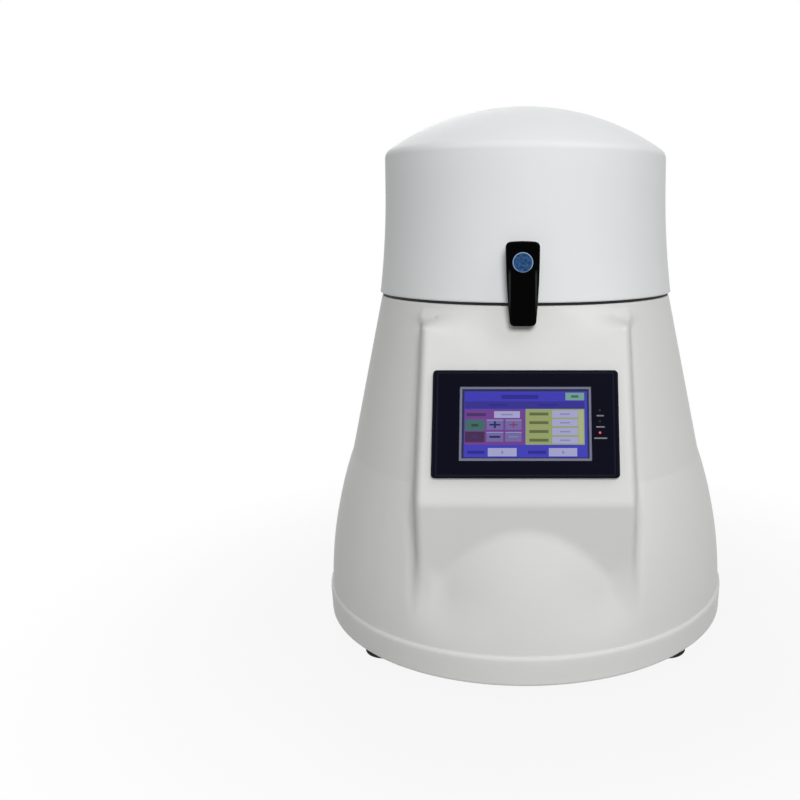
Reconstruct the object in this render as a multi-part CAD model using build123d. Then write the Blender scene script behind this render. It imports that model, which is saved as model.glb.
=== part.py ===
from build123d import *
import math
import os

# A tissue grinder for the bench. A bell-shaped moulded housing stands on four rubber feet,
# carries a sloped console with a touch panel, and has a domed lid hinged at the rear.
# Inside, a motor turns a crank by a belt, and the crank shakes a platform with the tubes.
# Millimetres. X runs to the right, Y to the rear and Z up from the tabletop.

# Fits, and how far a cutter runs past what it cuts
shaft_gap = 0.05
running_gap = 0.3
seat_gap = 0.5
cutter_margin = 5.0

# Bell housing, measured from the tabletop
rim_height = 12.0
hip_radius = 184.2
lip_step = 2.0
rim_taper = 1.2
lip_height = 20.0
lip_round = 3.0
kink_radius = 163.8
kink_height = 157.0
seam_radius = 134.8
deck_height = 302.0
deck_ledge = 12.8
housing_wall = 4.0
ledge_width = 12.2
ledge_thickness = 8.0
inner_radius = hip_radius - housing_wall
lip_radius = hip_radius + lip_step
rim_radius = lip_radius - rim_taper
lip_top = rim_height + lip_height
hip_start = lip_top + lip_round
cone_slope = (kink_radius - seam_radius) / (deck_height - kink_height)
deck_opening_radius = seam_radius - deck_ledge

# Console on the front of the housing
console_tilt = 17.0
console_rise = 4.6
console_face_drop = 23.0
console_top_drop = 12.0
console_edge = 153.0
console_low_tilt = 8.0
console_foot = 46.0
console_half_top = 82.5
console_half_edge = 84.5
console_draft = 9.0
console_round = 7.0
console_root_y = -60.0
console_root_rise = 2.0
console_face_depth = seam_radius + console_rise
console_face_height = deck_height - console_face_drop
console_top = deck_height - console_top_drop

# Touch panel
panel_rise = 59.0
bezel_width = 145.0
bezel_height = 83.0
bezel_thickness = 6.0
bezel_round = 3.0
bezel_bevel = 1.5
bezel_overlap = 6.5
frame_width = 102.4
frame_height = 57.0
screen_recess = 1.2
screen_thickness = 3.0
screen_border = 1.8
screen_lip = 0.5
panel_housing_depth = 30.0
panel_housing_bevel = 4.0
light_margin = 6.3
light_pitch = 8.6
light_radius = 0.9
light_rise = 1.5
light_proud = 0.3
light_count = 3
panel_height_at = console_edge + panel_rise
panel_cut_width = bezel_width - 2 * bezel_overlap
panel_cut_height = bezel_height - 2 * bezel_overlap
light_offset = frame_width / 2 + light_margin

# Lid
lid_gap = 2.3
lid_overhang = 1.8
lid_flare = 5.8
lid_flare_height = 95.7
lid_shoulder_height = 127.2
lid_height = 170.9
shoulder_round = 8.0
lid_wall = 4.0
lid_flange_width = 10.0
liner_thickness = 2.0
liner_lift = 13.7
gasket_width = 7.0
gasket_inset = 0.6
lid_bottom = deck_height + lid_gap
lid_rim_radius = seam_radius + lid_overhang
lid_wall_radius = lid_rim_radius - lid_flare
lid_flare_top = lid_bottom + lid_flare_height
lid_shoulder = lid_bottom + lid_shoulder_height
lid_top = lid_bottom + lid_height

# Lid hinge
hinge_reach = 10.4
hinge_rise = 2.0
knuckle_radius = 6.0
hinge_pin_radius = 3.0
hinge_pin_stub = 1.0
hinge_half_length = 40.0
lid_knuckle_half = 14.0
leaf_drop = 22.0
leaf_lift = 30.0
leaf_plate = 2.0
leaf_root = 15.0
leaf_corner = 4.0
leaf_bend = 12.0
leaf_top_round = 6.0
leaf_gap = 2.0
hinge_y = lid_rim_radius + hinge_reach
hinge_z = deck_height + hinge_rise
leaf_back = hinge_y + leaf_plate

# Latch lever on the lid
latch_x = -2.0
latch_rise = 52.0
latch_drop = 15.0
latch_top_width = 27.0
latch_middle_width = 25.4
latch_bottom_width = 20.4
latch_top_arch = 1.0
latch_stand_off = 3.9
latch_thickness = 10.0
latch_corner = 4.0
latch_edge_round = 3.0
latch_pin_drop = 8.0
latch_pin_radius = 2.0
latch_pin_inset = 4.0
latch_pin_cover = 3.0
latch_cheek = 4.8
latch_pocket_gap = 0.6
latch_pocket_drop = 14.0
latch_pocket_rise = 5.6
ear_radius = 3.4
ear_thickness = 2.5
bracket_plate_gap = 1.5
bracket_drop = 12.0
bracket_rise = 3.0
spring_wire = 1.1
badge_radius = 8.0
badge_thickness = 1.2
badge_bevel = 0.5
badge_drop = 16.5
magnet_width = 12.0
magnet_height = 7.0
magnet_depth = 3.0
magnet_lift = 3.0
keeper_margin = 2.0
keeper_root = 10.0
keeper_lift = 1.0
keeper_drop = 3.0
latch_top = deck_height + latch_rise
latch_bottom = deck_height - latch_drop
latch_back = lid_rim_radius + latch_stand_off

# Feet and base
foot_circle_inset = 26.7
foot_angle = 40.36
foot_top_radius = 17.0
foot_bottom_radius = 15.0
foot_height = 18.0
foot_edge_round = 1.5
foot_screw_radius = 3.0
foot_head_radius = 6.0
foot_head_height = 5.0
foot_head_recess = 4.0
base_thickness = 6.0
base_screw_inset = 6.2
base_screw_radius = 2.5
base_screw_head_radius = 4.5
base_screw_head_height = 3.0
base_screw_count = 6
screw_hole_cover = 1.0
foot_circle = hip_radius - foot_circle_inset
foot_x = foot_circle * math.cos(math.radians(foot_angle))
foot_y = foot_circle * math.sin(math.radians(foot_angle))
base_bottom = foot_height
base_top = base_bottom + base_thickness
base_screw_circle = inner_radius - base_screw_inset
ledge_inner_radius = inner_radius - ledge_width

# Crank, rod and guide frame, seen across the machine from the rod outwards
bed_thickness = 10.0
bed_corner = 12.0
bed_x_min = -70.0
bed_x_max = 104.0
bed_y_min = -70.0
bed_margin = 1.0
isolator_radius = 12.0
isolator_height = 12.0
isolator_waist_round = 4.0
isolator_waist_depth = 2.0
isolator_inset = 16.0
crank_rise = 46.0
crank_throw = 10.0
crank_gap = 1.0
crank_shaft_radius = 10.0
crank_disc_radius = 32.0
crank_disc_thickness = 12.0
crank_web_half = 13.2
crank_waist_drop = 4.0
rod_length = 70.0
rod_thickness = 14.0
rod_big_eye = 13.0
rod_small_eye = 10.5
rod_web_width = 12.0
rod_web_thickness = 9.8
crank_pin_radius = 6.0
crank_pin_head = 2.0
wrist_pin_radius = 5.0
fork_half_width = 17.0
fork_half_depth = 13.0
fork_drop = 12.0
fork_clearance = 1.0
fork_bridge = 6.0
drive_shaft_radius = 10.0
bearing_gap = 4.0
bearing_span = 38.0
bearing_block_width = 18.0
bearing_block_half = 24.0
bearing_foot_height = 10.0
bearing_outer_radius = 19.0
bearing_crown = 5.0
bearing_width = 12.0
bearing_hole_gap = 3.0
pulley_gap = 11.0
pulley_width = 12.0
pulley_flange = 4.0
flange_thickness = 1.4
crank_pulley_radius = 32.0
crank_shaft_stub = 4.0
post_x = 62.0
post_y = 40.0
post_radius = 7.0
guide_plate_thickness = 12.0
guide_plate_half_x = 80.0
guide_plate_half_y = 52.0
guide_rod_x = 44.0
guide_rod_radius = 6.0
guide_rod_reach = 36.0
bush_wall = 4.5
bush_overlap = 5.0
bush_clearance = 1.5
bush_flange_width = 3.6
bush_flange_height = 3.0
bed_bottom = base_top + isolator_height
bed_top = bed_bottom + bed_thickness
crank_height = bed_top + crank_rise
crank_face_x = rod_thickness / 2 + crank_gap
near_bearing_x = crank_face_x + crank_disc_thickness + bearing_gap
bearing_block_x = (near_bearing_x, near_bearing_x + bearing_span)
pulley_x = near_bearing_x + bearing_span + bearing_block_width + pulley_gap
crank_shaft_end = pulley_x + pulley_width + crank_shaft_stub
wrist_height = crank_height - crank_throw + rod_length
fork_slot_top = wrist_height + rod_small_eye + fork_clearance
fork_end = fork_slot_top + fork_bridge
bush_bottom = fork_end + 2 * crank_throw + bush_clearance
guide_plate_height = bush_bottom + bush_overlap
guide_plate_top = guide_plate_height + guide_plate_thickness
bush_top = guide_plate_top + bush_flange_height
guide_rod_bottom = guide_plate_height - guide_rod_reach

# Motor and belt
motor_clearance = 3.0
motor_rise = 52.0
motor_radius = 38.0
motor_x_min = -42.0
motor_x_max = 70.0
motor_bracket_thickness = 6.0
motor_bracket_foot = 30.0
motor_boss_radius = 14.0
motor_nose_depth = 12.0
motor_shaft_radius = 7.0
motor_shaft_root = 10.0
motor_shaft_stub = 2.0
motor_pulley_radius = 20.0
groove_count = 5
groove_start = 22.0
groove_pitch = 14.0
groove_width = 6.0
groove_depth = 2.5
belt_thickness = 3.0
motor_y = post_y + post_radius + motor_clearance + motor_radius
motor_height = bed_top + motor_rise
bed_y_max = motor_y + motor_radius + bed_margin

# Sample chamber
tub_gap = 10.5
tub_wall = 2.0
tub_lift = 21.0
tub_corner = 14.0
tub_flange_width = 4.0
collar_clearance = 2.0
collar_wall = 2.0
collar_gap = 2.0
platform_gap = 10.0
platform_thickness = 12.0
platform_width = 150.0
platform_depth = 110.0
platform_corner = 14.0
platform_bevel = 1.5
socket_depth = 8.0
block_width = 128.0
block_depth = 86.0
block_height = 42.0
block_corner = 9.0
block_bevel = 1.5
well_radius = 8.5
well_depth = 34.0
well_pitch_x = 28.0
well_row_y = 23.0
wells_per_row = 4
stud_radius = 6.0
stud_reach = 12.0
stud_bevel = 1.0
press_plate_thickness = 8.0
press_plate_margin = 2.0
press_plate_round = 2.0
knob_hub_radius = 14.0
knob_hub_height = 6.0
knob_core_radius = 18.0
knob_lobe_radius = 8.0
knob_lobes = 5
knob_height = 16.0
knob_waist_round = 3.0
knob_edge_round = 1.5
tub_radius = deck_opening_radius - tub_gap
tub_flange_radius = deck_opening_radius + tub_flange_width
tub_floor = bush_top + tub_lift
collar_height = platform_gap - collar_clearance
platform_height = tub_floor + platform_gap
platform_top = platform_height + platform_thickness
block_top = platform_top + block_height
press_top = block_top + press_plate_thickness
stud_top = press_top + knob_hub_height + knob_height + stud_reach

# Rear connection pad
pad_half_width = 62.0
pad_bottom = 54.0
pad_top = 146.0
pad_clearance = 10.5
pad_root = 60.0
fan_margin = 4.0
fan_depth = 15.0
fan_bore = 27.0
fan_wall = 2.0
fan_hub_radius = 12.5
fan_blades = 7
fan_tip_gap = 1.0
fan_arm = 3.0
fan_arm_count = 3
fan_arm_overlap = 2.5
blade_thickness = 1.4
blade_chord = 11.0
blade_pitch = 35.0
blade_root = 0.5
rotor_end_gap = 1.0
rotor_back_gap = 5.0
grille_rim = 3.0
grille_thickness = 2.0
grille_bar = 2.4
grille_ring_pitch = 7.5
grille_ring_count = 3
inlet_margin = 16.0
inlet_width = 32.0
inlet_height = 74.0
inlet_corner = 3.0
inlet_flange = 2.5
inlet_border = 3.0
inlet_depth = 38.0
socket_wall = 1.0
socket_height = 17.0
socket_recess = 16.0
socket_drop = 18.0
prong_width = 2.0
prong_height = 4.0
prong_length = 12.0
prong_pitch = 7.0
prong_offset = 3.5
prong_root = 1.0
fuse_height = 9.0
fuse_depth = 22.0
fuse_lift = 3.5
fuse_face = 2.0
fuse_back_gap = 2.0
fuse_tray_wall = 3.0
fuse_front_wall = 4.0
fuse_lip_width = 10.0
fuse_lip_depth = 1.2
fuse_lip_height = 2.5
rocker_width = 19.0
rocker_half = 6.0
rocker_lift = 22.5
rocker_reach = 6.0
rocker_crown = 1.5
rocker_taper = 1.5
rocker_rest = 7.0
rocker_window_half = 7.3
rocker_window_depth = 16.0
rocker_pivot_depth = 4.0
rocker_barrel_radius = 2.6
pad_depth = motor_y + motor_radius + pad_clearance + inlet_depth - inlet_flange
pad_middle = (pad_bottom + pad_top) / 2
fan_size = 2 * (fan_bore + fan_tip_gap + fan_wall)
fan_x = fan_size / 2 + fan_margin - pad_half_width
grille_window = fan_bore + fan_tip_gap
inlet_x = pad_half_width - inlet_margin - inlet_width / 2
socket_width = inlet_width - 2 * inlet_border - 2 * socket_wall

# Electronics on the base
drive_width = 50.0
drive_depth = 90.0
drive_height = 56.0
drive_inset = 42.0
drive_slots = 6
drive_slot_pitch = 12.0
drive_slot_width = 4.0
drive_slot_depth = 5.0
board_width = 100.0
board_depth = 46.0
board_thickness = 1.6
board_inset = 68.0
board_standoff = 10.0
board_hole_inset = 6.0
standoff_radius = 3.0
transformer_width = 28.0
transformer_depth = 22.0
transformer_height = 16.0
transformer_x = -20.0
chip_width = 20.0
chip_height = 3.0
chip_x = 16.0
capacitor_radius = 3.5
capacitor_height = 12.0
capacitor_x = (34.0, 42.0)
drive_x = drive_inset - ledge_inner_radius
board_y = board_inset - inner_radius
board_low = base_top + board_standoff


def turned(outline):
    """Revolve a closed outline, drawn as radius and height, about the upright axis."""
    return revolve(Plane.XZ * make_face(outline), Axis.Z)


def upright(radius, low, high, x=0.0, y=0.0):
    """Upright cylinder between two heights."""
    return Pos(x, y, low) * Cylinder(radius, high - low, align=(Align.CENTER, Align.CENTER, Align.MIN))


def along_x(radius, start, end, y, z):
    """Cylinder that lies along X."""
    rod = Cylinder(radius, end - start, align=(Align.CENTER, Align.CENTER, Align.MIN))
    return Pos(start, y, z) * Rot(0, 90, 0) * rod


def along_y(radius, start, end, x, z):
    """Cylinder that lies along Y."""
    rod = Cylinder(radius, end - start, align=(Align.CENTER, Align.CENTER, Align.MIN))
    return Pos(x, start, z) * Rot(-90, 0, 0) * rod


def block(x0, x1, y0, y1, z0, z1):
    """Box between two corners."""
    centre = ((x0 + x1) / 2, (y0 + y1) / 2, (z0 + z1) / 2)
    return Pos(*centre) * Box(x1 - x0, y1 - y0, z1 - z0)


def rounded_plate(width, depth, corner, low, high, x=0.0, y=0.0):
    """Flat plate with rounded corners."""
    return Pos(x, y, low) * extrude(RectangleRounded(width, depth, corner), high - low)


def bell_form(inset, low, high):
    """Solid bell, smaller by the inset, between two heights: hip arc, then straight cone."""
    hip = TangentArc((hip_radius - inset, hip_start), (kink_radius - inset, kink_height), tangent=(0, 1))
    top = (seam_radius - (high - deck_height) * cone_slope - inset, high)
    edge = Polyline(hip @ 1, top, (0, high), (0, low), (hip_radius - inset, low), hip @ 0)
    return turned(hip + edge)


def skirt_lip():
    """Thick lip round the bottom of the housing."""
    rounding = TangentArc((lip_radius, lip_top), (inner_radius, hip_start), tangent=(0, 1))
    edge = Polyline(
        (inner_radius, hip_start), (inner_radius, rim_height), (rim_radius, rim_height), (lip_radius, lip_top)
    )
    return turned(rounding + edge)


def console_face_y(z):
    """Depth of the console's sloped face at a height."""
    return -console_face_depth - (console_face_height - z) * math.tan(math.radians(console_tilt))


def console_outline(widening, y):
    """Outline of the console seen from the front, set at a depth and widened at each side."""
    flare = (console_half_edge - console_half_top) / (console_top - console_edge)
    high = console_top + cutter_margin
    low = console_foot - cutter_margin
    half_high = console_half_edge - flare * (high - console_edge) + widening
    half_low = console_half_edge + flare * (console_edge - low) + widening
    corners = ((half_high, y, high), (half_low, y, low), (-half_low, y, low), (-half_high, y, high))
    return make_face(Polyline(*corners, close=True))


def console_form(inset):
    """Console body: a sloped side profile cut to a drafted front outline, with soft edges."""
    front_y = console_face_y(console_edge)
    low_y = front_y + (console_edge - console_foot) * math.tan(math.radians(console_low_tilt))
    side = Polyline(
        (console_face_y(console_top), console_top),
        (front_y, console_edge),
        (low_y, console_foot),
        (console_root_y, console_foot),
        (console_root_y, console_top + console_root_rise),
        close=True,
    )
    side_face = offset(make_face(side), -inset) if inset else make_face(side)
    profile = extrude(Plane.YZ * side_face, 2 * console_half_edge, both=True)
    spread = (console_root_y - front_y) * math.tan(math.radians(console_draft))
    root = console_outline(spread - inset, console_root_y)
    drafted = loft([console_outline(-inset, front_y), root], ruled=True)
    form = profile & drafted
    if inset:
        return form
    front = form.edges().filter_by(lambda e: e.center().Y < console_face_y(console_top) + 1)
    return fillet(front, console_round)


def rear_pad(inset):
    """Flat-faced block at the rear that carries the connections."""
    half = pad_half_width - inset
    return block(-half, half, pad_depth - pad_root, pad_depth - inset, pad_bottom + inset, pad_top - inset)


def pad_recess(inset):
    """What the rear pad's flat face takes away from the bell, one inset larger all round."""
    half = pad_half_width + inset
    far = lip_radius + cutter_margin
    return block(-half, half, pad_depth - inset, far, pad_bottom - inset, pad_top + inset)


def housing_outside():
    """Outer form of the whole bell housing, without its lip."""
    return bell_form(0, rim_height, deck_height) - pad_recess(0) + rear_pad(0) + console_form(0)


def on_console(x, up, out):
    """Frame on the console's face: centre of the panel, moved along, up and out of the face."""
    slope = math.radians(console_tilt)
    y = console_face_y(panel_height_at) + up * math.sin(slope) - out * math.cos(slope)
    z = panel_height_at + up * math.cos(slope) + out * math.sin(slope)
    return Pos(x, y, z) * Rot(90 - console_tilt, 0, 0)


def base_screw_places():
    """Places of the screws round the base."""
    step = 360 / base_screw_count
    angles = [math.radians(step * (i + 0.5)) for i in range(base_screw_count)]
    return [(base_screw_circle * math.cos(a), base_screw_circle * math.sin(a)) for a in angles]


def foot_places():
    """Places of the four feet, by name."""
    return {
        "front_left": (-foot_x, -foot_y),
        "front_right": (foot_x, -foot_y),
        "rear_left": (-foot_x, foot_y),
        "rear_right": (foot_x, foot_y),
    }


def make_body_shell():
    """Moulded bell housing with console, lip, rear pad and an inner ledge for the base."""
    inner = bell_form(housing_wall, rim_height - cutter_margin, deck_height - housing_wall)
    inner = inner - pad_recess(housing_wall) + console_form(housing_wall) + rear_pad(housing_wall)
    shell = housing_outside() + skirt_lip() - inner
    ledge_top = base_top + ledge_thickness
    ledge = upright(inner_radius + housing_wall / 2, base_top, ledge_top)
    shell += ledge - upright(ledge_inner_radius, base_top, ledge_top)
    shell -= upright(deck_opening_radius, deck_height - 2 * housing_wall, deck_height + cutter_margin)
    for x, y in base_screw_places():
        shell -= upright(base_screw_radius + shaft_gap, base_top, ledge_top - screw_hole_cover, x, y)
    shell -= on_console(0, 0, 0) * Box(panel_cut_width, panel_cut_height, 4 * housing_wall)
    back = pad_depth - 2 * housing_wall
    front = pad_depth + cutter_margin
    shell -= along_y(fan_bore, back, front, fan_x, pad_middle)
    half = inlet_width / 2 - inlet_border + seat_gap
    rise = inlet_height / 2 - inlet_border + seat_gap
    return shell - block(inlet_x - half, inlet_x + half, back, front, pad_middle - rise, pad_middle + rise)


def make_rim_gasket():
    """Black seal between housing and lid."""
    outer = seam_radius - gasket_inset
    ring = upright(outer, deck_height, lid_bottom - running_gap)
    return ring - upright(outer - gasket_width, deck_height, lid_bottom)


def make_base_plate():
    plate = upright(inner_radius - seat_gap, base_bottom, base_top)
    for x, y in base_screw_places():
        plate -= upright(base_screw_radius + shaft_gap, base_bottom, base_top, x, y)
    for x, y in foot_places().values():
        plate -= upright(foot_screw_radius + shaft_gap, base_bottom, base_top, x, y)
    return plate


def make_base_screws():
    shank_top = base_top + ledge_thickness - 2 * screw_hole_cover
    screws = []
    for x, y in base_screw_places():
        head = upright(base_screw_head_radius, base_bottom - base_screw_head_height, base_bottom, x, y)
        screws.append(head + upright(base_screw_radius, base_bottom, shank_top, x, y))
    return Compound(children=screws)


def make_foot(x, y):
    """Rubber foot: a tapered disc with a soft lower edge and a recess for its screw."""
    foot = Pos(x, y, 0) * Cone(
        foot_bottom_radius, foot_top_radius, foot_height, align=(Align.CENTER, Align.CENTER, Align.MIN)
    )
    foot = fillet(foot.edges().sort_by(Axis.Z)[0], foot_edge_round)
    foot -= upright(foot_head_radius + seat_gap, 0, foot_head_recess + foot_head_height, x, y)
    return foot - upright(foot_screw_radius + shaft_gap, 0, foot_height, x, y)


def make_foot_screws():
    screws = []
    for x, y in foot_places().values():
        head = upright(foot_head_radius, foot_head_recess, foot_head_recess + foot_head_height, x, y)
        screws.append(head + upright(foot_screw_radius, foot_head_recess, base_top, x, y))
    return Compound(children=screws)


def isolator_places():
    xs = (bed_x_min + isolator_inset, bed_x_max - isolator_inset)
    ys = (bed_y_min + isolator_inset, bed_y_max - isolator_inset)
    return [(x, y) for x in xs for y in ys]


def make_isolators():
    """Rubber mounts with a waist, between the base and the machine bed."""
    waist = Torus(isolator_radius + isolator_waist_depth, isolator_waist_round)
    middle = (base_top + bed_bottom) / 2
    mounts = [
        upright(isolator_radius, base_top, bed_bottom, x, y) - Pos(x, y, middle) * waist
        for x, y in isolator_places()
    ]
    return Compound(children=mounts)


def make_machine_bed():
    centre_x = (bed_x_min + bed_x_max) / 2
    centre_y = (bed_y_min + bed_y_max) / 2
    width = bed_x_max - bed_x_min
    depth = bed_y_max - bed_y_min
    return rounded_plate(width, depth, bed_corner, bed_bottom, bed_top, centre_x, centre_y)


def make_bearing_blocks():
    """Two pillow blocks that carry the crankshaft."""
    blocks = []
    half = bearing_block_half
    crown = bearing_outer_radius + bearing_crown
    for x in bearing_block_x:
        end = x + bearing_block_width
        foot = block(x, end, -half, half, bed_top, bed_top + bearing_foot_height)
        web = block(x, end, -crown, crown, bed_top, crank_height)
        seat = along_x(bearing_outer_radius, x, x + bearing_width, 0, crank_height)
        hole = along_x(crank_shaft_radius + bearing_hole_gap, x, end, 0, crank_height)
        blocks.append(foot + web + along_x(crown, x, end, 0, crank_height) - seat - hole)
    return Compound(children=blocks)


def make_crank_bearings():
    rings = []
    for x in bearing_block_x:
        ring = along_x(bearing_outer_radius, x, x + bearing_width, 0, crank_height)
        rings.append(ring - along_x(crank_shaft_radius + shaft_gap, x, x + bearing_width, 0, crank_height))
    return Compound(children=rings)


def make_crankshaft():
    return along_x(crank_shaft_radius, crank_face_x, crank_shaft_end, 0, crank_height)


def make_crank_disc():
    """Crank disc with a counterweight: the disc is cut away beside the pin."""
    end = crank_face_x + crank_disc_thickness
    disc = along_x(crank_disc_radius, crank_face_x, end, 0, crank_height)
    far = crank_disc_radius + cutter_margin
    low = crank_height - far
    waist = crank_height - crank_waist_drop
    for y0, y1 in ((-far, -crank_web_half), (crank_web_half, far)):
        disc -= block(crank_face_x - cutter_margin, end + cutter_margin, y0, y1, low, waist)
    return disc - along_x(crank_shaft_radius, crank_face_x, end, 0, crank_height)


def make_crank_pin():
    start = -rod_thickness / 2 - crank_pin_head
    return along_x(crank_pin_radius, start, crank_face_x - running_gap, 0, crank_height - crank_throw)


def make_connecting_rod():
    """Rod with two eyes and a web between them, at its lowest place."""
    half = rod_thickness / 2
    web = rod_web_thickness / 2
    low = crank_height - crank_throw
    rod = along_x(rod_big_eye, -half, half, 0, low) + along_x(rod_small_eye, -half, half, 0, wrist_height)
    rod += block(-web, web, -rod_web_width / 2, rod_web_width / 2, low, wrist_height)
    rod -= along_x(crank_pin_radius + shaft_gap, -half, half, 0, low)
    return rod - along_x(wrist_pin_radius + shaft_gap, -half, half, 0, wrist_height)


def make_wrist_pin():
    return along_x(wrist_pin_radius, -fork_half_width, fork_half_width, 0, wrist_height)


def make_drive_shaft():
    """Drive shaft with the fork for the connecting rod at its lower end."""
    half = fork_half_width
    deep = fork_half_depth
    gap = rod_thickness / 2 + seat_gap
    low = wrist_height - fork_drop
    fork = block(-half, half, -deep, deep, low, fork_end)
    fork -= block(-gap, gap, -deep, deep, low, fork_slot_top)
    fork -= along_x(wrist_pin_radius + shaft_gap, -half, half, 0, wrist_height)
    return fork + upright(drive_shaft_radius, fork_end, platform_height + socket_depth)


def make_guide_rods():
    top = platform_height + socket_depth
    rods = [upright(guide_rod_radius, guide_rod_bottom, top, x) for x in (-guide_rod_x, guide_rod_x)]
    return Compound(children=rods)


def make_guide_posts():
    places = [(x, y) for x in (-post_x, post_x) for y in (-post_y, post_y)]
    return Compound(children=[upright(post_radius, bed_top, guide_plate_height, x, y) for x, y in places])


def bush_sizes():
    """Place and bore of each guide bush."""
    return [(0, drive_shaft_radius), (-guide_rod_x, guide_rod_radius), (guide_rod_x, guide_rod_radius)]


def make_guide_plate():
    width = guide_plate_half_x * 2
    depth = guide_plate_half_y * 2
    plate = rounded_plate(width, depth, bed_corner, guide_plate_height, guide_plate_top)
    for x, bore in bush_sizes():
        plate -= upright(bore + bush_wall, guide_plate_height, guide_plate_top, x)
    return plate


def make_guide_bushes():
    """Flanged bushes that guide the drive shaft and its two rods."""
    bushes = []
    for x, bore in bush_sizes():
        bush = upright(bore + bush_wall, bush_bottom, guide_plate_top, x)
        bush += upright(bore + bush_wall + bush_flange_width, guide_plate_top, bush_top, x)
        bushes.append(bush - upright(bore + shaft_gap, bush_bottom, bush_top, x))
    return Compound(children=bushes)


def make_motor_body():
    """Motor can with end caps and cooling grooves."""
    can = along_x(motor_radius, motor_x_min, motor_x_max, motor_y, motor_height)
    for i in range(groove_count):
        x = motor_x_min + groove_start + i * groove_pitch
        ring = along_x(motor_radius + cutter_margin, x, x + groove_width, motor_y, motor_height)
        can -= ring - along_x(motor_radius - groove_depth, x, x + groove_width, motor_y, motor_height)
    nose = motor_x_max - motor_nose_depth
    return can - along_x(motor_shaft_radius + seat_gap, nose, motor_x_max, motor_y, motor_height)


def make_motor_bracket():
    """Angle plate that the motor is bolted to."""
    near = motor_x_max
    far = near + motor_bracket_thickness
    low = motor_y - motor_radius - bed_margin
    foot_top = bed_top + motor_bracket_thickness
    bracket = block(near, far, low, bed_y_max, bed_top, motor_height + motor_radius)
    bracket += block(near - motor_bracket_foot, near, low, bed_y_max, bed_top, foot_top)
    return bracket - along_x(motor_boss_radius, near, far, motor_y, motor_height)


def make_motor_shaft():
    end = pulley_x + pulley_width + motor_shaft_stub
    return along_x(motor_shaft_radius, motor_x_max - motor_shaft_root, end, motor_y, motor_height)


def make_pulley(radius, bore, y, z):
    """Belt pulley with a thin flange at each side."""
    end = pulley_x + pulley_width
    pulley = along_x(radius, pulley_x, end, y, z)
    pulley += along_x(radius + pulley_flange, pulley_x, pulley_x + flange_thickness, y, z)
    pulley += along_x(radius + pulley_flange, end - flange_thickness, end, y, z)
    return pulley - along_x(bore, pulley_x, end, y, z)


def belt_loop(grow):
    """Flat loop round both pulleys, in the plane across the shafts."""
    crank = Pos(0, crank_height) * Circle(crank_pulley_radius + grow)
    motor = Pos(motor_y, motor_height) * Circle(motor_pulley_radius + grow)
    return make_hull([*crank.edges(), *motor.edges()])


def make_drive_belt():
    inside = flange_thickness + running_gap
    loop = belt_loop(running_gap + belt_thickness) - belt_loop(running_gap)
    return extrude(Plane.YZ.offset(pulley_x + inside) * loop, pulley_width - 2 * inside)


def make_chamber_tub():
    """Turned tub that hangs in the housing's deck, with collars for the shaft and rods."""
    inner = tub_radius - tub_wall
    outer_round = tub_corner + tub_wall
    arc_top = tub_floor + outer_round
    floor_top = tub_floor + tub_wall
    outline = Line((0, tub_floor), (tub_radius - outer_round, tub_floor))
    outline += TangentArc((tub_radius - outer_round, tub_floor), (tub_radius, arc_top), tangent=(1, 0))
    outline += Polyline(
        (tub_radius, arc_top),
        (tub_radius, deck_height),
        (tub_flange_radius, deck_height),
        (tub_flange_radius, deck_height + tub_wall),
        (inner, deck_height + tub_wall),
        (inner, arc_top),
    )
    outline += TangentArc((inner, arc_top), (inner - tub_corner, floor_top), tangent=(0, -1))
    outline += Polyline((inner - tub_corner, floor_top), (0, floor_top), (0, tub_floor))
    tub = turned(outline)
    for x, bore in bush_sizes():
        tub += upright(bore + collar_gap + collar_wall, tub_floor, tub_floor + collar_height, x)
    for x, bore in bush_sizes():
        tub -= upright(bore + collar_gap, tub_floor, tub_floor + collar_height, x)
    return tub


def make_platform():
    plate = rounded_plate(platform_width, platform_depth, platform_corner, platform_height, platform_top)
    for x, radius in bush_sizes():
        plate -= upright(radius, platform_height, platform_height + socket_depth, x)
    return chamfer(plate.edges().group_by(Axis.Z)[-1], platform_bevel)


def make_clamp_stud():
    stud = upright(stud_radius, platform_top, stud_top)
    return chamfer(stud.edges().group_by(Axis.Z)[-1], stud_bevel)


def well_places():
    """Places of the tube wells: two rows beside the clamp stud."""
    first = -well_pitch_x * (wells_per_row - 1) / 2
    columns = [first + i * well_pitch_x for i in range(wells_per_row)]
    return [(x, y) for x in columns for y in (-well_row_y, well_row_y)]


def make_sample_block():
    """Tube block that stands on the platform."""
    body = rounded_plate(block_width, block_depth, block_corner, platform_top, block_top)
    body = chamfer(body.edges().group_by(Axis.Z)[-1], block_bevel)
    for x, y in well_places():
        body -= upright(well_radius, block_top - well_depth, block_top, x, y)
    return body - upright(stud_radius + seat_gap, platform_top, block_top)


def make_press_plate():
    """Plate that holds the tubes down, with soft upper edges and a hole for the stud."""
    width = block_width - 2 * press_plate_margin
    plate = rounded_plate(width, block_depth - 2 * press_plate_margin, block_corner, block_top, press_top)
    plate = fillet(plate.edges().group_by(Axis.Z)[-1], press_plate_round)
    return plate - upright(stud_radius + running_gap, block_top, press_top)


def make_clamp_knob():
    """Star knob on the stud."""
    hub_top = press_top + knob_hub_height
    knob_top = hub_top + knob_height
    plan = Circle(knob_core_radius) + PolarLocations(knob_core_radius, knob_lobes) * Circle(knob_lobe_radius)
    plan = fillet(plan.vertices(), knob_waist_round)
    knob = Pos(0, 0, hub_top) * extrude(plan, knob_height)
    knob = fillet(knob.edges().group_by(Axis.Z)[-1], knob_edge_round)
    knob += upright(knob_hub_radius, press_top, hub_top)
    return knob - upright(stud_radius + shaft_gap, press_top, knob_top)


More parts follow.
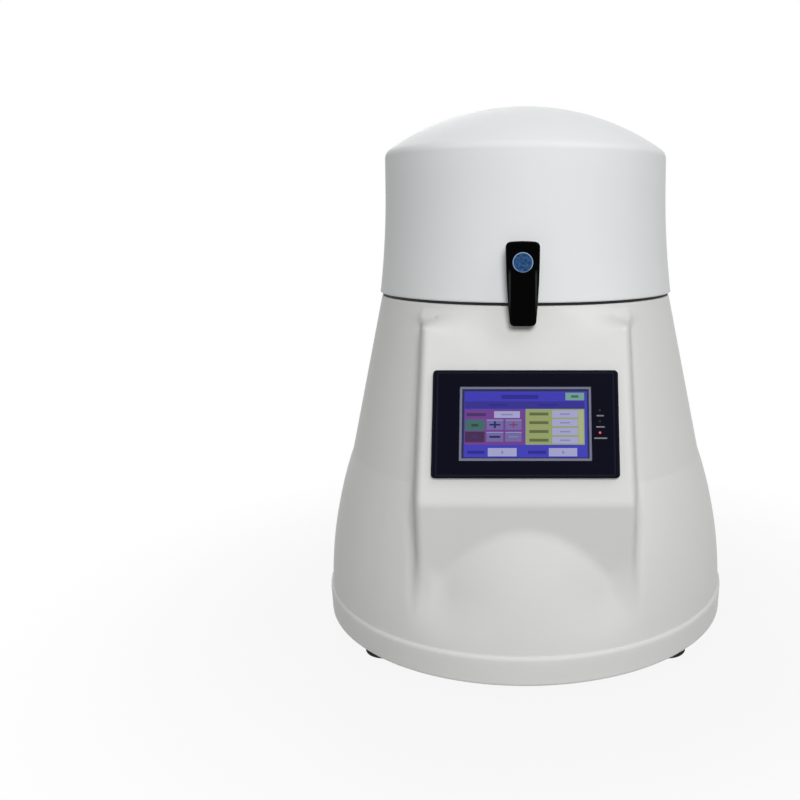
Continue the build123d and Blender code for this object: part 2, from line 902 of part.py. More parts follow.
def lid_outline(inset, low):
    """Half outline of the lid: flared wall, rounded shoulder and crowned top."""
    wall = lid_wall_radius - inset
    crown_centre = Line((0, low), (0, lid_top - inset))
    crown = TangentArc((0, lid_top - inset), (wall, lid_shoulder - inset), tangent=(1, 0))
    side = Line(crown @ 1, (wall, lid_flare_top))
    flare = TangentArc((wall, lid_flare_top), (lid_rim_radius - inset, low), tangent=(0, -1))
    foot = Line(flare @ 1, (0, low))
    face = make_face(crown_centre + crown + side + flare + foot)
    corner = face.vertices().sort_by_distance((wall, lid_shoulder - inset))[0]
    return fillet(corner, shoulder_round - inset / 2)


def lid_form(inset, low):
    return revolve(Plane.XZ * lid_outline(inset, low), Axis.Z)


def lid_radius(z):
    """Outer radius of the lid's flared wall at a height."""
    rise = lid_flare_top - lid_bottom
    bend = (rise**2 + lid_flare**2) / (2 * lid_flare)
    return lid_wall_radius + bend - math.sqrt(bend**2 - (lid_flare_top - z) ** 2)


def make_lid_shell():
    """Domed lid with an inner flange that meets the gasket."""
    flange_top = lid_bottom + lid_wall
    shell = lid_form(0, lid_bottom) - lid_form(lid_wall, lid_bottom)
    flange = upright(lid_rim_radius - lid_wall / 2, lid_bottom, flange_top)
    return shell + (flange - upright(lid_rim_radius - lid_flange_width, lid_bottom, flange_top))


def make_lid_liner():
    """Thin inner lining of the lid."""
    outside = lid_form(lid_wall + running_gap, lid_bottom)
    liner = outside - lid_form(lid_wall + running_gap + liner_thickness, lid_bottom)
    return liner - upright(lid_rim_radius, lid_bottom, lid_bottom + liner_lift)


def make_hinge_base_leaf():
    """Fixed hinge leaf on the rear of the housing, with two knuckles."""
    low = hinge_z - leaf_drop
    half = hinge_half_length
    leaf = block(-half, half, seam_radius - leaf_root, leaf_back, low, hinge_z - knuckle_radius - leaf_gap)
    leaf = fillet(leaf.edges().filter_by(Axis.Z).sort_by(Axis.Y)[-2:], leaf_corner)
    for side in (-1, 1):
        x0, x1 = sorted((side * half, side * (lid_knuckle_half + running_gap)))
        leaf += block(x0, x1, hinge_y - knuckle_radius, leaf_back, low, hinge_z)
        leaf += along_x(knuckle_radius, x0, x1, hinge_y, hinge_z)
    leaf -= along_x(hinge_pin_radius + shaft_gap, -half, half, hinge_y, hinge_z)
    return leaf - bell_form(0, rim_height, deck_height)


def make_hinge_pin():
    half = hinge_half_length + hinge_pin_stub
    return along_x(hinge_pin_radius, -half, half, hinge_y, hinge_z)


def make_lid_hinge_leaf():
    """Moving hinge leaf on the rear of the lid, with the middle knuckle."""
    half = lid_knuckle_half
    top = hinge_z + leaf_lift
    low = hinge_z + knuckle_radius + 2 * leaf_gap
    leaf = block(-half, half, lid_rim_radius - leaf_root, leaf_back, low, top)
    leaf = fillet(leaf.edges().filter_by(Axis.X).sort_by(Axis.Z)[-2:].sort_by(Axis.Y)[-1], leaf_top_round)
    leaf += block(-half, half, hinge_y - knuckle_radius, leaf_back, hinge_z, top - leaf_bend)
    leaf += along_x(knuckle_radius, -half, half, hinge_y, hinge_z)
    leaf -= along_x(hinge_pin_radius + shaft_gap, -half, half, hinge_y, hinge_z)
    seat = Cone(lid_radius(low), lid_radius(top), top - low, align=(Align.CENTER, Align.CENTER, Align.MIN))
    return leaf - Pos(0, 0, low) * seat


def latch_pin_place():
    """Depth and height of the latch's pivot."""
    return -(latch_back + latch_pin_inset), latch_top - latch_pin_drop


def make_latch_bracket():
    """Two ears on the lid that hold the latch's pin."""
    y, z = latch_pin_place()
    half = latch_top_width / 2 - latch_cheek - seat_gap
    front = bracket_plate_gap - latch_back
    plate = block(latch_x - half, latch_x + half, front, -lid_wall_radius, z - bracket_drop, z + bracket_rise)
    for side in (-1, 1):
        x0, x1 = sorted((latch_x + side * half, latch_x + side * (half - ear_thickness)))
        plate += along_x(ear_radius, x0, x1, y, z)
        plate += block(x0, x1, y, -lid_wall_radius, z - ear_radius, z + ear_radius)
    plate -= along_x(latch_pin_radius, latch_x - half, latch_x + half, y, z)
    return plate - lid_form(0, lid_bottom)


def make_latch_pin():
    y, z = latch_pin_place()
    half = latch_top_width / 2 - latch_pin_cover
    return along_x(latch_pin_radius, latch_x - half, latch_x + half, y, z)


def make_latch_spring():
    """Torsion spring round the latch's pin, as a plain sleeve."""
    y, z = latch_pin_place()
    half = latch_top_width / 2 - latch_cheek - ear_thickness - 2 * seat_gap
    sleeve = along_x(latch_pin_radius + spring_wire, latch_x - half, latch_x + half, y, z)
    return sleeve - along_x(latch_pin_radius, latch_x - half, latch_x + half, y, z)


def make_latch_lever():
    """Lever: bowed sides that close in downwards and a rounded front, hollow behind its pivot."""
    rise = (latch_top - latch_bottom) / 2
    high = rise - latch_top_arch
    wide, middle, narrow = latch_top_width / 2, latch_middle_width / 2, latch_bottom_width / 2
    top = ThreePointArc((-wide, high), (0, rise), (wide, high))
    right = ThreePointArc((wide, high), (middle, 0), (narrow, -rise))
    left = ThreePointArc((-narrow, -rise), (-middle, 0), (-wide, high))
    face = make_face(top + right + Line((narrow, -rise), (-narrow, -rise)) + left)
    face = fillet(face.vertices(), latch_corner)
    lever = Pos(latch_x, -latch_back, latch_bottom + rise) * extrude(Plane.XZ * face, latch_thickness)
    lever = fillet(lever.faces().sort_by(Axis.Y)[0].edges(), latch_edge_round)
    y, z = latch_pin_place()
    half = latch_top_width / 2 - latch_cheek
    deep = y - ear_radius - latch_pocket_gap
    low = z - latch_pocket_drop
    lever -= block(latch_x - half, latch_x + half, deep, -latch_back, low, z + latch_pocket_rise)
    half = latch_top_width / 2 - latch_pin_cover + running_gap
    lever -= along_x(latch_pin_radius + shaft_gap, latch_x - half, latch_x + half, y, z)
    return lever - magnet_block(shaft_gap)


def magnet_block(gap):
    """Space of the latch's magnet in the back of the lever."""
    half = magnet_width / 2 + gap
    low = latch_bottom + magnet_lift - gap
    high = low + magnet_height + 2 * gap
    return block(latch_x - half, latch_x + half, -latch_back - magnet_depth - gap, -latch_back, low, high)


def make_latch_badge():
    """Round disc on the front of the lever."""
    front = latch_back + latch_thickness
    disc = along_y(badge_radius, -front - badge_thickness, -front, latch_x, latch_top - badge_drop)
    return chamfer(disc.edges().sort_by(Axis.Y)[0], badge_bevel)


def make_latch_keeper():
    """Steel strike plate on the housing behind the magnet."""
    half = magnet_width / 2 + keeper_margin
    front = seat_gap - latch_back
    low = latch_bottom + keeper_lift
    high = deck_height - keeper_drop
    plate = block(latch_x - half, latch_x + half, front, keeper_root - seam_radius, low, high)
    return plate - bell_form(0, rim_height, deck_height)


def light_places():
    """Places of the status lights on the panel, from the top down."""
    return [light_rise + ((light_count - 1) / 2 - i) * light_pitch for i in range(light_count)]


def make_panel_bezel():
    """Front frame of the touch panel: a bevelled plate with the screen's window."""
    plate = extrude(RectangleRounded(bezel_width, bezel_height, bezel_round), bezel_thickness)
    plate = chamfer(plate.faces().sort_by(Axis.Z)[-1].edges(), bezel_bevel)
    plate -= Pos(0, 0, bezel_thickness / 2) * Box(frame_width, frame_height, bezel_thickness)
    for up in light_places():
        plate -= Pos(light_offset, up, 0) * Cylinder(light_radius + shaft_gap, 4 * bezel_thickness)
    return on_console(0, 0, 0) * plate


def make_touch_screen():
    """Screen set back in its window, with a thin raised surround."""
    width = frame_width - 2 * shaft_gap
    height = frame_height - 2 * shaft_gap
    low = bezel_thickness - screen_recess - screen_thickness
    screen = Pos(0, 0, low) * extrude(Rectangle(width, height), screen_thickness)
    lit = Rectangle(width - 2 * screen_border, height - 2 * screen_border)
    screen -= Pos(0, 0, low + screen_thickness - screen_lip) * extrude(lit, screen_thickness)
    return on_console(0, 0, 0) * screen


def make_panel_housing():
    """Box behind the touch panel, through the console's cut-out."""
    width = panel_cut_width - 2 * seat_gap
    height = panel_cut_height - 2 * seat_gap
    box = Pos(0, 0, -panel_housing_depth / 2) * Box(width, height, panel_housing_depth)
    box = chamfer(box.faces().sort_by(Axis.Z)[0].edges(), panel_housing_bevel)
    return on_console(0, 0, 0) * box


def make_status_lights():
    length = bezel_thickness + light_proud
    lens = Cylinder(light_radius, length, align=(Align.CENTER, Align.CENTER, Align.MIN))
    return Compound(children=[on_console(light_offset, up, 0) * lens for up in light_places()])


def make_motor_drive():
    """Motor drive in its case on the base, with cooling slots across its top."""
    left = drive_x - drive_width / 2
    right = drive_x + drive_width / 2
    top = base_top + drive_height
    case = block(left, right, -drive_depth / 2, drive_depth / 2, base_top, top)
    first = -((drive_slots - 1) * drive_slot_pitch + drive_slot_width) / 2
    for i in range(drive_slots):
        y = first + i * drive_slot_pitch
        case -= block(left, right, y, y + drive_slot_width, top - drive_slot_depth, top)
    return case


def make_board_standoffs():
    half_x = board_width / 2 - board_hole_inset
    half_y = board_depth / 2 - board_hole_inset
    places = [(x, board_y + y) for x in (-half_x, half_x) for y in (-half_y, half_y)]
    return Compound(children=[upright(standoff_radius, base_top, board_low, x, y) for x, y in places])


def make_controller_board():
    """Circuit board with its largest parts: a transformer, a chip and two capacitors."""
    top = board_low + board_thickness
    board = Pos(0, board_y, board_low + board_thickness / 2) * Box(board_width, board_depth, board_thickness)
    for x, width, depth, height in (
        (transformer_x, transformer_width, transformer_depth, transformer_height),
        (chip_x, chip_width, chip_width, chip_height),
    ):
        board += Pos(x, board_y, top + height / 2) * Box(width, depth, height)
    for x in capacitor_x:
        board += upright(capacitor_radius, top, top + capacitor_height, x, board_y)
    return board


def make_fan_frame():
    """Square fan frame with its motor hub on three arms."""
    front = pad_depth - housing_wall
    back = front - fan_depth
    half = fan_size / 2
    frame = block(fan_x - half, fan_x + half, back, front, pad_middle - half, pad_middle + half)
    frame -= along_y(fan_bore + fan_tip_gap, back, front, fan_x, pad_middle)
    frame += along_y(fan_hub_radius, back, back + fan_arm, fan_x, pad_middle)
    length = fan_bore - fan_hub_radius + 2 * fan_arm_overlap
    arm = Pos(0, 0, (fan_bore + fan_hub_radius) / 2) * Box(fan_arm, fan_arm, length)
    for i in range(fan_arm_count):
        frame += Pos(fan_x, back + fan_arm / 2, pad_middle) * Rot(0, 360 * i / fan_arm_count + 45, 0) * arm
    return frame


def make_fan_rotor():
    """Rotor with pitched blades."""
    front = pad_depth - housing_wall - rotor_end_gap
    back = front - fan_depth + rotor_back_gap
    middle = (front + back) / 2
    rotor = along_y(fan_hub_radius, back, front, fan_x, pad_middle)
    length = fan_bore - fan_hub_radius
    blade = Rot(0, 0, blade_pitch) * Box(blade_thickness, blade_chord, length)
    blade = Pos(0, 0, fan_hub_radius + length / 2 - blade_root) * blade
    for i in range(fan_blades):
        rotor += Pos(fan_x, middle, pad_middle) * Rot(0, 360 * i / fan_blades, 0) * blade
    return rotor


def make_vent_grille():
    """Round finger guard of rings on crossed bars."""
    front = pad_depth
    back = pad_depth + grille_thickness
    radii = [grille_window - i * grille_ring_pitch for i in range(grille_ring_count)]
    grille = along_y(grille_window + grille_rim, front, back, fan_x, pad_middle)
    grille -= along_y(grille_window, front, back, fan_x, pad_middle)
    for radius in radii[1:]:
        ring = along_y(radius, front, back, fan_x, pad_middle)
        grille += ring - along_y(radius - grille_bar, front, back, fan_x, pad_middle)
    grille += along_y(radii[-1] / 2, front, back, fan_x, pad_middle)
    bar = Box(grille_bar, grille_thickness, 2 * grille_window + grille_rim)
    for angle in (45, 135):
        grille += Pos(fan_x, (front + back) / 2, pad_middle) * Rot(0, angle, 0) * bar
    return grille


def fuse_place():
    """Low and high corners of the fuse drawer's opening in X and Z."""
    z = pad_middle + fuse_lift
    return inlet_x - socket_width / 2, inlet_x + socket_width / 2, z - fuse_height / 2, z + fuse_height / 2


def make_power_inlet():
    """Mains inlet with room for a fuse drawer and a rocker switch, and three prongs."""
    half = inlet_width / 2
    rise = inlet_height / 2
    face = pad_depth + inlet_flange
    back = face - inlet_depth
    body = block(inlet_x - half, inlet_x + half, pad_depth, face, pad_middle - rise, pad_middle + rise)
    body = fillet(body.edges().filter_by(Axis.Y), inlet_corner)
    half -= inlet_border
    rise -= inlet_border
    body += block(inlet_x - half, inlet_x + half, back, pad_depth, pad_middle - rise, pad_middle + rise)
    z = pad_middle - socket_drop
    half = socket_width / 2
    deep = face - socket_recess
    body -= block(inlet_x - half, inlet_x + half, deep, face, z - socket_height / 2, z + socket_height / 2)
    prongs = ((-prong_pitch, -prong_offset / 2), (0, prong_offset), (prong_pitch, -prong_offset / 2))
    for dx, dz in prongs:
        x0 = inlet_x + dx - prong_width / 2
        low = z + dz - prong_height / 2
        body += block(x0, x0 + prong_width, deep - prong_root, deep + prong_length, low, low + prong_height)
    x0, x1, z0, z1 = fuse_place()
    body -= block(x0, x1, face - fuse_depth - fuse_back_gap, face, z0, z1)
    half = rocker_width / 2
    low = pad_middle + rocker_lift - rocker_window_half
    high = pad_middle + rocker_lift + rocker_window_half
    return body - block(inlet_x - half, inlet_x + half, face - rocker_window_depth, face, low, high)


def make_fuse_drawer():
    """Small drawer that holds the fuse, with a finger lip."""
    x0, x1, z0, z1 = fuse_place()
    face = pad_depth + inlet_flange
    end = face + fuse_face
    wall = fuse_tray_wall
    half = fuse_lip_width / 2
    low = z0 + running_gap
    drawer = block(x0 + running_gap, x1 - running_gap, face - fuse_depth, end, low, z1 - running_gap)
    drawer -= block(x0 + wall, x1 - wall, face - fuse_depth + wall, face - fuse_front_wall, z0 + wall, z1)
    lip_high = z0 + fuse_lip_height
    return drawer - block(inlet_x - half, inlet_x + half, end - fuse_lip_depth, end, low, lip_high)


def make_power_rocker():
    """Rocker of the power switch, tilted to one side about its pivot."""
    outline = Polyline(
        (0, -rocker_half + rocker_taper),
        (rocker_reach + rocker_crown, -rocker_half),
        (rocker_reach, 0),
        (rocker_reach + rocker_crown, rocker_half),
        (0, rocker_half - rocker_taper),
        close=True,
    )
    half = rocker_width / 2 - running_gap
    rocker = extrude(Plane.YZ * make_face(outline), half, both=True)
    rocker += along_x(rocker_barrel_radius, -half, half, 0, 0)
    pivot_y = pad_depth + inlet_flange - rocker_pivot_depth
    return Pos(inlet_x, pivot_y, pad_middle + rocker_lift) * Rot(-rocker_rest, 0, 0) * rocker


def all_pieces():
    """Every piece of the grinder, by name."""
    pieces = {
        "body_shell": make_body_shell(),
        "rim_gasket": make_rim_gasket(),
        "chamber_tub": make_chamber_tub(),
        "base_plate": make_base_plate(),
        "base_screws": make_base_screws(),
        "foot_screws": make_foot_screws(),
        "isolators": make_isolators(),
        "machine_bed": make_machine_bed(),
        "bearing_blocks": make_bearing_blocks(),
        "crank_bearings": make_crank_bearings(),
        "guide_posts": make_guide_posts(),
        "guide_plate": make_guide_plate(),
        "guide_bushes": make_guide_bushes(),
        "motor_body": make_motor_body(),
        "motor_bracket": make_motor_bracket(),
        "drive_belt": make_drive_belt(),
        "motor_shaft": make_motor_shaft(),
        "motor_pulley": make_pulley(motor_pulley_radius, motor_shaft_radius, motor_y, motor_height),
        "crankshaft": make_crankshaft(),
        "crank_disc": make_crank_disc(),
        "crank_pulley": make_pulley(crank_pulley_radius, crank_shaft_radius, 0, crank_height),
        "connecting_rod": make_connecting_rod(),
        "crank_pin": make_crank_pin(),
        "wrist_pin": make_wrist_pin(),
        "drive_shaft": make_drive_shaft(),
        "guide_rods": make_guide_rods(),
        "platform": make_platform(),
        "clamp_stud": make_clamp_stud(),
        "sample_block": make_sample_block(),
        "press_plate": make_press_plate(),
        "clamp_knob": make_clamp_knob(),
        "lid_shell": make_lid_shell(),
        "lid_liner": make_lid_liner(),
        "lid_hinge_leaf": make_lid_hinge_leaf(),
        "hinge_base_leaf": make_hinge_base_leaf(),
        "hinge_pin": make_hinge_pin(),
        "latch_bracket": make_latch_bracket(),
        "latch_pin": make_latch_pin(),
        "latch_spring": make_latch_spring(),
        "latch_lever": make_latch_lever(),
        "latch_badge": make_latch_badge(),
        "latch_magnet": magnet_block(0),
        "latch_keeper": make_latch_keeper(),
        "panel_bezel": make_panel_bezel(),
        "touch_screen": make_touch_screen(),
        "panel_housing": make_panel_housing(),
        "status_lights": make_status_lights(),
        "motor_drive": make_motor_drive(),
        "controller_board": make_controller_board(),
        "board_standoffs": make_board_standoffs(),
        "fan_frame": make_fan_frame(),
        "fan_rotor": make_fan_rotor(),
        "vent_grille": make_vent_grille(),
        "power_inlet": make_power_inlet(),
        "fuse_drawer": make_fuse_drawer(),
        "power_rocker": make_power_rocker(),
    }
    for name, (x, y) in foot_places().items():
        pieces["foot_" + name] = make_foot(x, y)
    return pieces


os.makedirs("parts", exist_ok=True)
for name, piece in all_pieces().items():
    export_step(piece, f"parts/{name}.step")
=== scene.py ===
import math

import bpy
import numpy as np
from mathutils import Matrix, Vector


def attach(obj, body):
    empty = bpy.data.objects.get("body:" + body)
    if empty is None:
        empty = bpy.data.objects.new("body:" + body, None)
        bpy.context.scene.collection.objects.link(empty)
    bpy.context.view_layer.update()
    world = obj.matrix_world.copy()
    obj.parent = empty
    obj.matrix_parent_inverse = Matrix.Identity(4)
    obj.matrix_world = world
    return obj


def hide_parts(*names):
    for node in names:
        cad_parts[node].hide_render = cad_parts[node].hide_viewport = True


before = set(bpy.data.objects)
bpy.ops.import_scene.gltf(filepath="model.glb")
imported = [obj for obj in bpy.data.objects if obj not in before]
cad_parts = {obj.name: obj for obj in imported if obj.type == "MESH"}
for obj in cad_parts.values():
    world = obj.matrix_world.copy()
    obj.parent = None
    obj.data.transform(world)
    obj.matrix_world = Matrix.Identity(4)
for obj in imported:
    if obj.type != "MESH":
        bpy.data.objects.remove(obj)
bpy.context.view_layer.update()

mm = 0.001  # sizes below are in millimetres, the scene is in metres
slopedFace = {"tilt": 17.0, "depth": 139.4, "height": 279.0}  # the console's face: lean, and a point on it


def nodeCentre(name):
    return np.array(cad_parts[name].bound_box).mean(axis=0)


def linearColour(hexCode):
    # sRGB hex to linear: c/12.92 below 0.04045, else ((c + 0.055) / 1.055) ^ 2.4
    values = [int(hexCode[i:i + 2], 16) / 255 for i in (1, 3, 5)]
    return [v / 12.92 if v <= 0.04045 else ((v + 0.055) / 1.055) ** 2.4 for v in values] + [1.0]


def scaledColour(hexCode, share):
    return [c * share for c in linearColour(hexCode)[:3]] + [1.0]


def feed(tree, node, inputs):
    # an input is a number, a colour or another node's output, under its name, or under its number where
    # several share a name, as on a Mix node, where 0 is the factor and 6 and 7 are the colours
    for key, value in inputs.items():
        if isinstance(value, bpy.types.NodeSocket):
            tree.links.new(value, node.inputs[key])
        else:
            node.inputs[key].default_value = value


def addNode(tree, kind, settings=None, inputs=None):
    # settings are the node's own properties
    node = tree.nodes.new(kind)
    for key, value in (settings or {}).items():
        setattr(node, key, value)
    feed(tree, node, inputs or {})
    return node


def newMaterial(name, shaderInputs):
    # a Principled shader on the output, and the object's coordinates for the patterns
    material = bpy.data.materials.new(name)
    material.use_nodes = True
    tree = material.node_tree
    tree.nodes.clear()
    shader = addNode(tree, "ShaderNodeBsdfPrincipled", inputs=shaderInputs)
    addNode(tree, "ShaderNodeOutputMaterial", inputs={"Surface": shader.outputs[0]})
    place = addNode(tree, "ShaderNodeTexCoord").outputs["Object"]
    return material, tree, shader, place


def makePiece(name, points, faces, materials, faceMaterials=None, smooth=True):
    # points are in millimetres, and a face is a list of their numbers
    mesh = bpy.data.meshes.new(name)
    mesh.from_pydata((np.asarray(points) * mm).tolist(), [], faces)
    for material in materials:
        mesh.materials.append(material)
    if faceMaterials is not None:
        mesh.polygons.foreach_set("material_index", np.asarray(faceMaterials, dtype=np.int32))
    mesh.polygons.foreach_set("use_smooth", np.full(len(mesh.polygons), smooth))
    mesh.update()
    piece = bpy.data.objects.new(name, mesh)
    bpy.context.scene.collection.objects.link(piece)
    return piece


def gridFaces(rows, columns, closeRows=False, closeColumns=True):
    # quads between neighbours of a rows by columns grid, wrapped round where it is closed
    r = np.arange(rows if closeRows else rows - 1)
    c = np.arange(columns if closeColumns else columns - 1)
    r, c = np.meshgrid(r, c, indexing="ij")
    row, nextRow, nextColumn = r * columns, ((r + 1) % rows) * columns, (c + 1) % columns
    quads = [row + c, row + nextColumn, nextRow + nextColumn, nextRow + c]
    return np.stack(quads, axis=-1).reshape(-1, 4)


def tipFaces(first, count, tip, turned=False):
    # triangles that close a ring of points, numbered on from the first, to one point
    one = first + np.arange(count)
    two = first + (np.arange(count) + 1) % count
    tips = np.full(count, tip)
    return np.stack([two, one, tips] if turned else [one, two, tips], axis=-1).tolist()


def arcPoints(r, z, wide, tall, start, end, count):
    # (r + wide * cos a, z + tall * sin a), with a in degrees from the start to the end
    a = np.radians(np.linspace(start, end, count))
    return np.stack([r + wide * np.cos(a), z + tall * np.sin(a)], axis=1)


def revolve(section, columns, x=0.0, y=0.0):
    # section of (r, z) turned about an upright axis: point = (x + r * cos turn, y + r * sin turn, z)
    turn = np.linspace(0, 2 * math.pi, columns, endpoint=False)
    r, z = section[:, :1], section[:, 1:]
    return np.stack([x + r * np.cos(turn), y + r * np.sin(turn), z + 0 * turn], axis=-1).reshape(-1, 3)


# Paint of the white case
housingPaint = {
    "body": "#DCDCDA", "lid": "#E4E6E7", "roughness": 0.42,
    "peelSize": 1.6, "peelDepth": 0.02,  # the paint's soft lumps
    "cloudSize": 60.0, "cloudDark": 0.04,
}


def sprayedPaint(name, hexCode):
    # Glass-fibre shell with a sprayed satin two-pack paint: soft sheen, faint orange peel, no grain.
    p = housingPaint
    material, tree, shader, place = newMaterial(name, {"Roughness": p["roughness"], "IOR": 1.5})
    cloud = addNode(tree, "ShaderNodeTexNoise", inputs={"Vector": place, "Scale": 1 / (p["cloudSize"] * mm)})
    mix = addNode(tree, "ShaderNodeMix", {"data_type": "RGBA"}, {
        0: cloud.outputs[0], 6: scaledColour(hexCode, 1 - p["cloudDark"]), 7: linearColour(hexCode)})
    peel = addNode(tree, "ShaderNodeTexNoise", inputs={
        "Vector": place, "Scale": 1 / (p["peelSize"] * mm), "Detail": 1.0})
    bump = addNode(tree, "ShaderNodeBump", inputs={
        "Strength": 0.15, "Distance": p["peelDepth"] * mm, "Height": peel.outputs[0]})
    feed(tree, shader, {"Base Color": mix.outputs[2], "Normal": bump.outputs[0]})
    return material


# Plastics. The grain is drawn several times coarser than the mould's, so that it shows.
plasticSettings = {
    "latchGloss": {"colour": "#010101", "roughness": 0.16, "grain": 2.5, "depth": 0.004, "sheen": 0.02},
    "bezelSatin": {"colour": "#090A17", "roughness": 0.35, "grain": 0.5, "depth": 0.012, "sheen": 0.04},
    "caseSatin": {"colour": "#121314", "roughness": 0.45, "grain": 0.6, "depth": 0.02, "sheen": 0.3},
    "knobSatin": {"colour": "#101010", "roughness": 0.38, "grain": 0.7, "depth": 0.02, "sheen": 0.3},
    "rockerGloss": {"colour": "#0A0A0B", "roughness": 0.2, "grain": 1.5, "depth": 0.005, "sheen": 0.4},
    "linerSatin": {"colour": "#BEC1C3", "roughness": 0.5, "grain": 0.8, "depth": 0.02, "sheen": 0.5},
    "screenSurround": {"colour": "#74778C", "roughness": 0.4, "grain": 0.5, "depth": 0.006, "sheen": 0.3},
    "boardLacquer": {"colour": "#1C5C38", "roughness": 0.35, "grain": 1.0, "depth": 0.01, "sheen": 0.5},
}
grainSpread = 0.15  # share of the roughness that the grain adds or takes


def mouldedPlastic(name):
    # Injection-moulded ABS: the tool's finish shows as a fine grain, the gloss pieces as a hard clear sheen.
    # The circuit board's lacquer over its laminate looks the same and is made here too.
    p = plasticSettings[name]
    material, tree, shader, place = newMaterial(name, {
        "Base Color": linearColour(p["colour"]), "IOR": 1.53, "Specular IOR Level": p["sheen"]})
    grain = addNode(tree, "ShaderNodeTexNoise", inputs={
        "Vector": place, "Scale": 1 / (p["grain"] * mm), "Detail": 2.0})
    spread = addNode(tree, "ShaderNodeMapRange", inputs={
        "Value": grain.outputs[0], "To Min": p["roughness"] * (1 - grainSpread),
        "To Max": p["roughness"] * (1 + grainSpread)})
    bump = addNode(tree, "ShaderNodeBump", inputs={
        "Strength": 0.4, "Distance": p["depth"] * mm, "Height": grain.outputs[0]})
    feed(tree, shader, {"Roughness": spread.outputs[0], "Normal": bump.outputs[0]})
    return material


# Painted highlights: thin pale lines mixed into the latch's and the bezel's colour, where their edges would
# catch the light
paintedHighlights = {
    # the painted highlight line's distance across, and along the face where it turns, from the node's
    # centre; a fade gives the height where the line starts and where it is full
    "latchGloss": {"node": "latch_lever", "tilt": 0.0, "colour": "#343536", "across": 10.4, "width": 1.1,
                   "fades": [(-26.0, -10.4), (12.0, 7.2)]},
    "bezelSatin": {"node": "panel_bezel", "tilt": slopedFace["tilt"], "colour": "#1D1F2E", "across": 68.6,
                   "along": 39.4, "width": 0.8, "fades": []},
}


def paintHighlightLine(name):
    # Painted highlight: a thin pale line in the colour where the moulding's edge would catch the light,
    # mixed towards grey near its distance.
    p = paintedHighlights[name]
    tree = plastic[name].node_tree
    place = tree.nodes["Texture Coordinate"].outputs["Object"]
    offset = addNode(tree, "ShaderNodeVectorMath", {"operation": "SUBTRACT"}, {
        0: place, 1: nodeCentre(p["node"])}).outputs[0]
    sideways = addNode(tree, "ShaderNodeSeparateXYZ", inputs={0: offset}).outputs["X"]
    lean = math.radians(p["tilt"])
    up = addNode(tree, "ShaderNodeVectorMath", {"operation": "DOT_PRODUCT"}, {
        0: offset, 1: (0, math.sin(lean), math.cos(lean))}).outputs["Value"]
    across = addNode(tree, "ShaderNodeMath", {"operation": "ABSOLUTE"}, {0: sideways}).outputs[0]
    away = addNode(tree, "ShaderNodeMath", {"operation": "SUBTRACT"}, {
        0: across, 1: p["across"] * mm}).outputs[0]
    if "along" in p:
        height = addNode(tree, "ShaderNodeMath", {"operation": "ABSOLUTE"}, {0: up}).outputs[0]
        over = addNode(tree, "ShaderNodeMath", {"operation": "SUBTRACT"}, {
            0: height, 1: p["along"] * mm}).outputs[0]
        away = addNode(tree, "ShaderNodeMath", {"operation": "MAXIMUM"}, {0: away, 1: over}).outputs[0]
    apart = addNode(tree, "ShaderNodeMath", {"operation": "ABSOLUTE"}, {0: away}).outputs[0]
    highlightShare = addNode(tree, "ShaderNodeMapRange", inputs={
        "Value": apart, "From Max": p["width"] * mm, "To Min": 1.0, "To Max": 0.0}).outputs[0]
    for start, full in p["fades"]:
        fade = addNode(tree, "ShaderNodeMapRange", inputs={
            "Value": up, "From Min": start * mm, "From Max": full * mm}).outputs[0]
        highlightShare = addNode(tree, "ShaderNodeMath", {"operation": "MULTIPLY"}, {0: highlightShare, 1: fade}).outputs[0]
    colour = addNode(tree, "ShaderNodeMix", {"data_type": "RGBA"}, {
        0: highlightShare, 6: linearColour(plasticSettings[name]["colour"]), 7: linearColour(p["colour"])})
    feed(tree, tree.nodes["Principled BSDF"], {"Base Color": colour.outputs[2]})


rubberSettings = {
    "sealRubber": {"colour": "#0B0B0B", "roughness": 0.75, "grain": 1.2, "bloom": 7.2, "depth": 0.03},
    "footRubber": {"colour": "#161616", "roughness": 0.8, "grain": 1.0, "bloom": 6.0, "depth": 0.05},
    "beltRubber": {"colour": "#121212", "roughness": 0.7, "grain": 0.9, "bloom": 5.4, "depth": 0.03},
}
bloomShare = 1.9  # how many times paler the bloom is


def mouldedRubber(name):
    # Moulded vulcanised rubber: dull black with a powdery bloom in patches. The grain is coarser than the
    # real one, so that it shows.
    p = rubberSettings[name]
    material, tree, shader, place = newMaterial(name, {"Roughness": p["roughness"], "IOR": 1.5})
    bloom = addNode(tree, "ShaderNodeTexNoise", inputs={"Vector": place, "Scale": 1 / (p["bloom"] * mm)})
    mix = addNode(tree, "ShaderNodeMix", {"data_type": "RGBA"}, {
        0: bloom.outputs[0], 6: linearColour(p["colour"]), 7: scaledColour(p["colour"], bloomShare)})
    grain = addNode(tree, "ShaderNodeTexNoise", inputs={"Vector": place, "Scale": 1 / (p["grain"] * mm)})
    bump = addNode(tree, "ShaderNodeBump", inputs={
        "Strength": 0.6, "Distance": p["depth"] * mm, "Height": grain.outputs[0]})
    feed(tree, shader, {"Base Color": mix.outputs[2], "Normal": bump.outputs[0]})
    return material


# Metals: the grain's size is divided by the stretch each way, so a small stretch draws it out.
metalSettings = {
    "brushedStainless": {"colour": "#C9C9C6", "rough": (0.22, 0.36), "grain": 5.6, "stretch": (6, 6, 0.25)},
    "groundSteel": {"colour": "#B9BABC", "rough": (0.18, 0.3), "grain": 4.0, "stretch": (0.4, 3, 3)},
    "anodisedAluminium": {"colour": "#C6C8CA", "rough": (0.3, 0.42), "grain": 2.0, "stretch": (1, 1, 1)},
    "machinedBronze": {"colour": "#B08D57", "rough": (0.2, 0.34), "grain": 3.6, "stretch": (4, 4, 0.5)},
    "platedMagnet": {"colour": "#C4C2BC", "rough": (0.12, 0.2), "grain": 3.2, "stretch": (1, 1, 1)},
}
lineDepth = 0.01


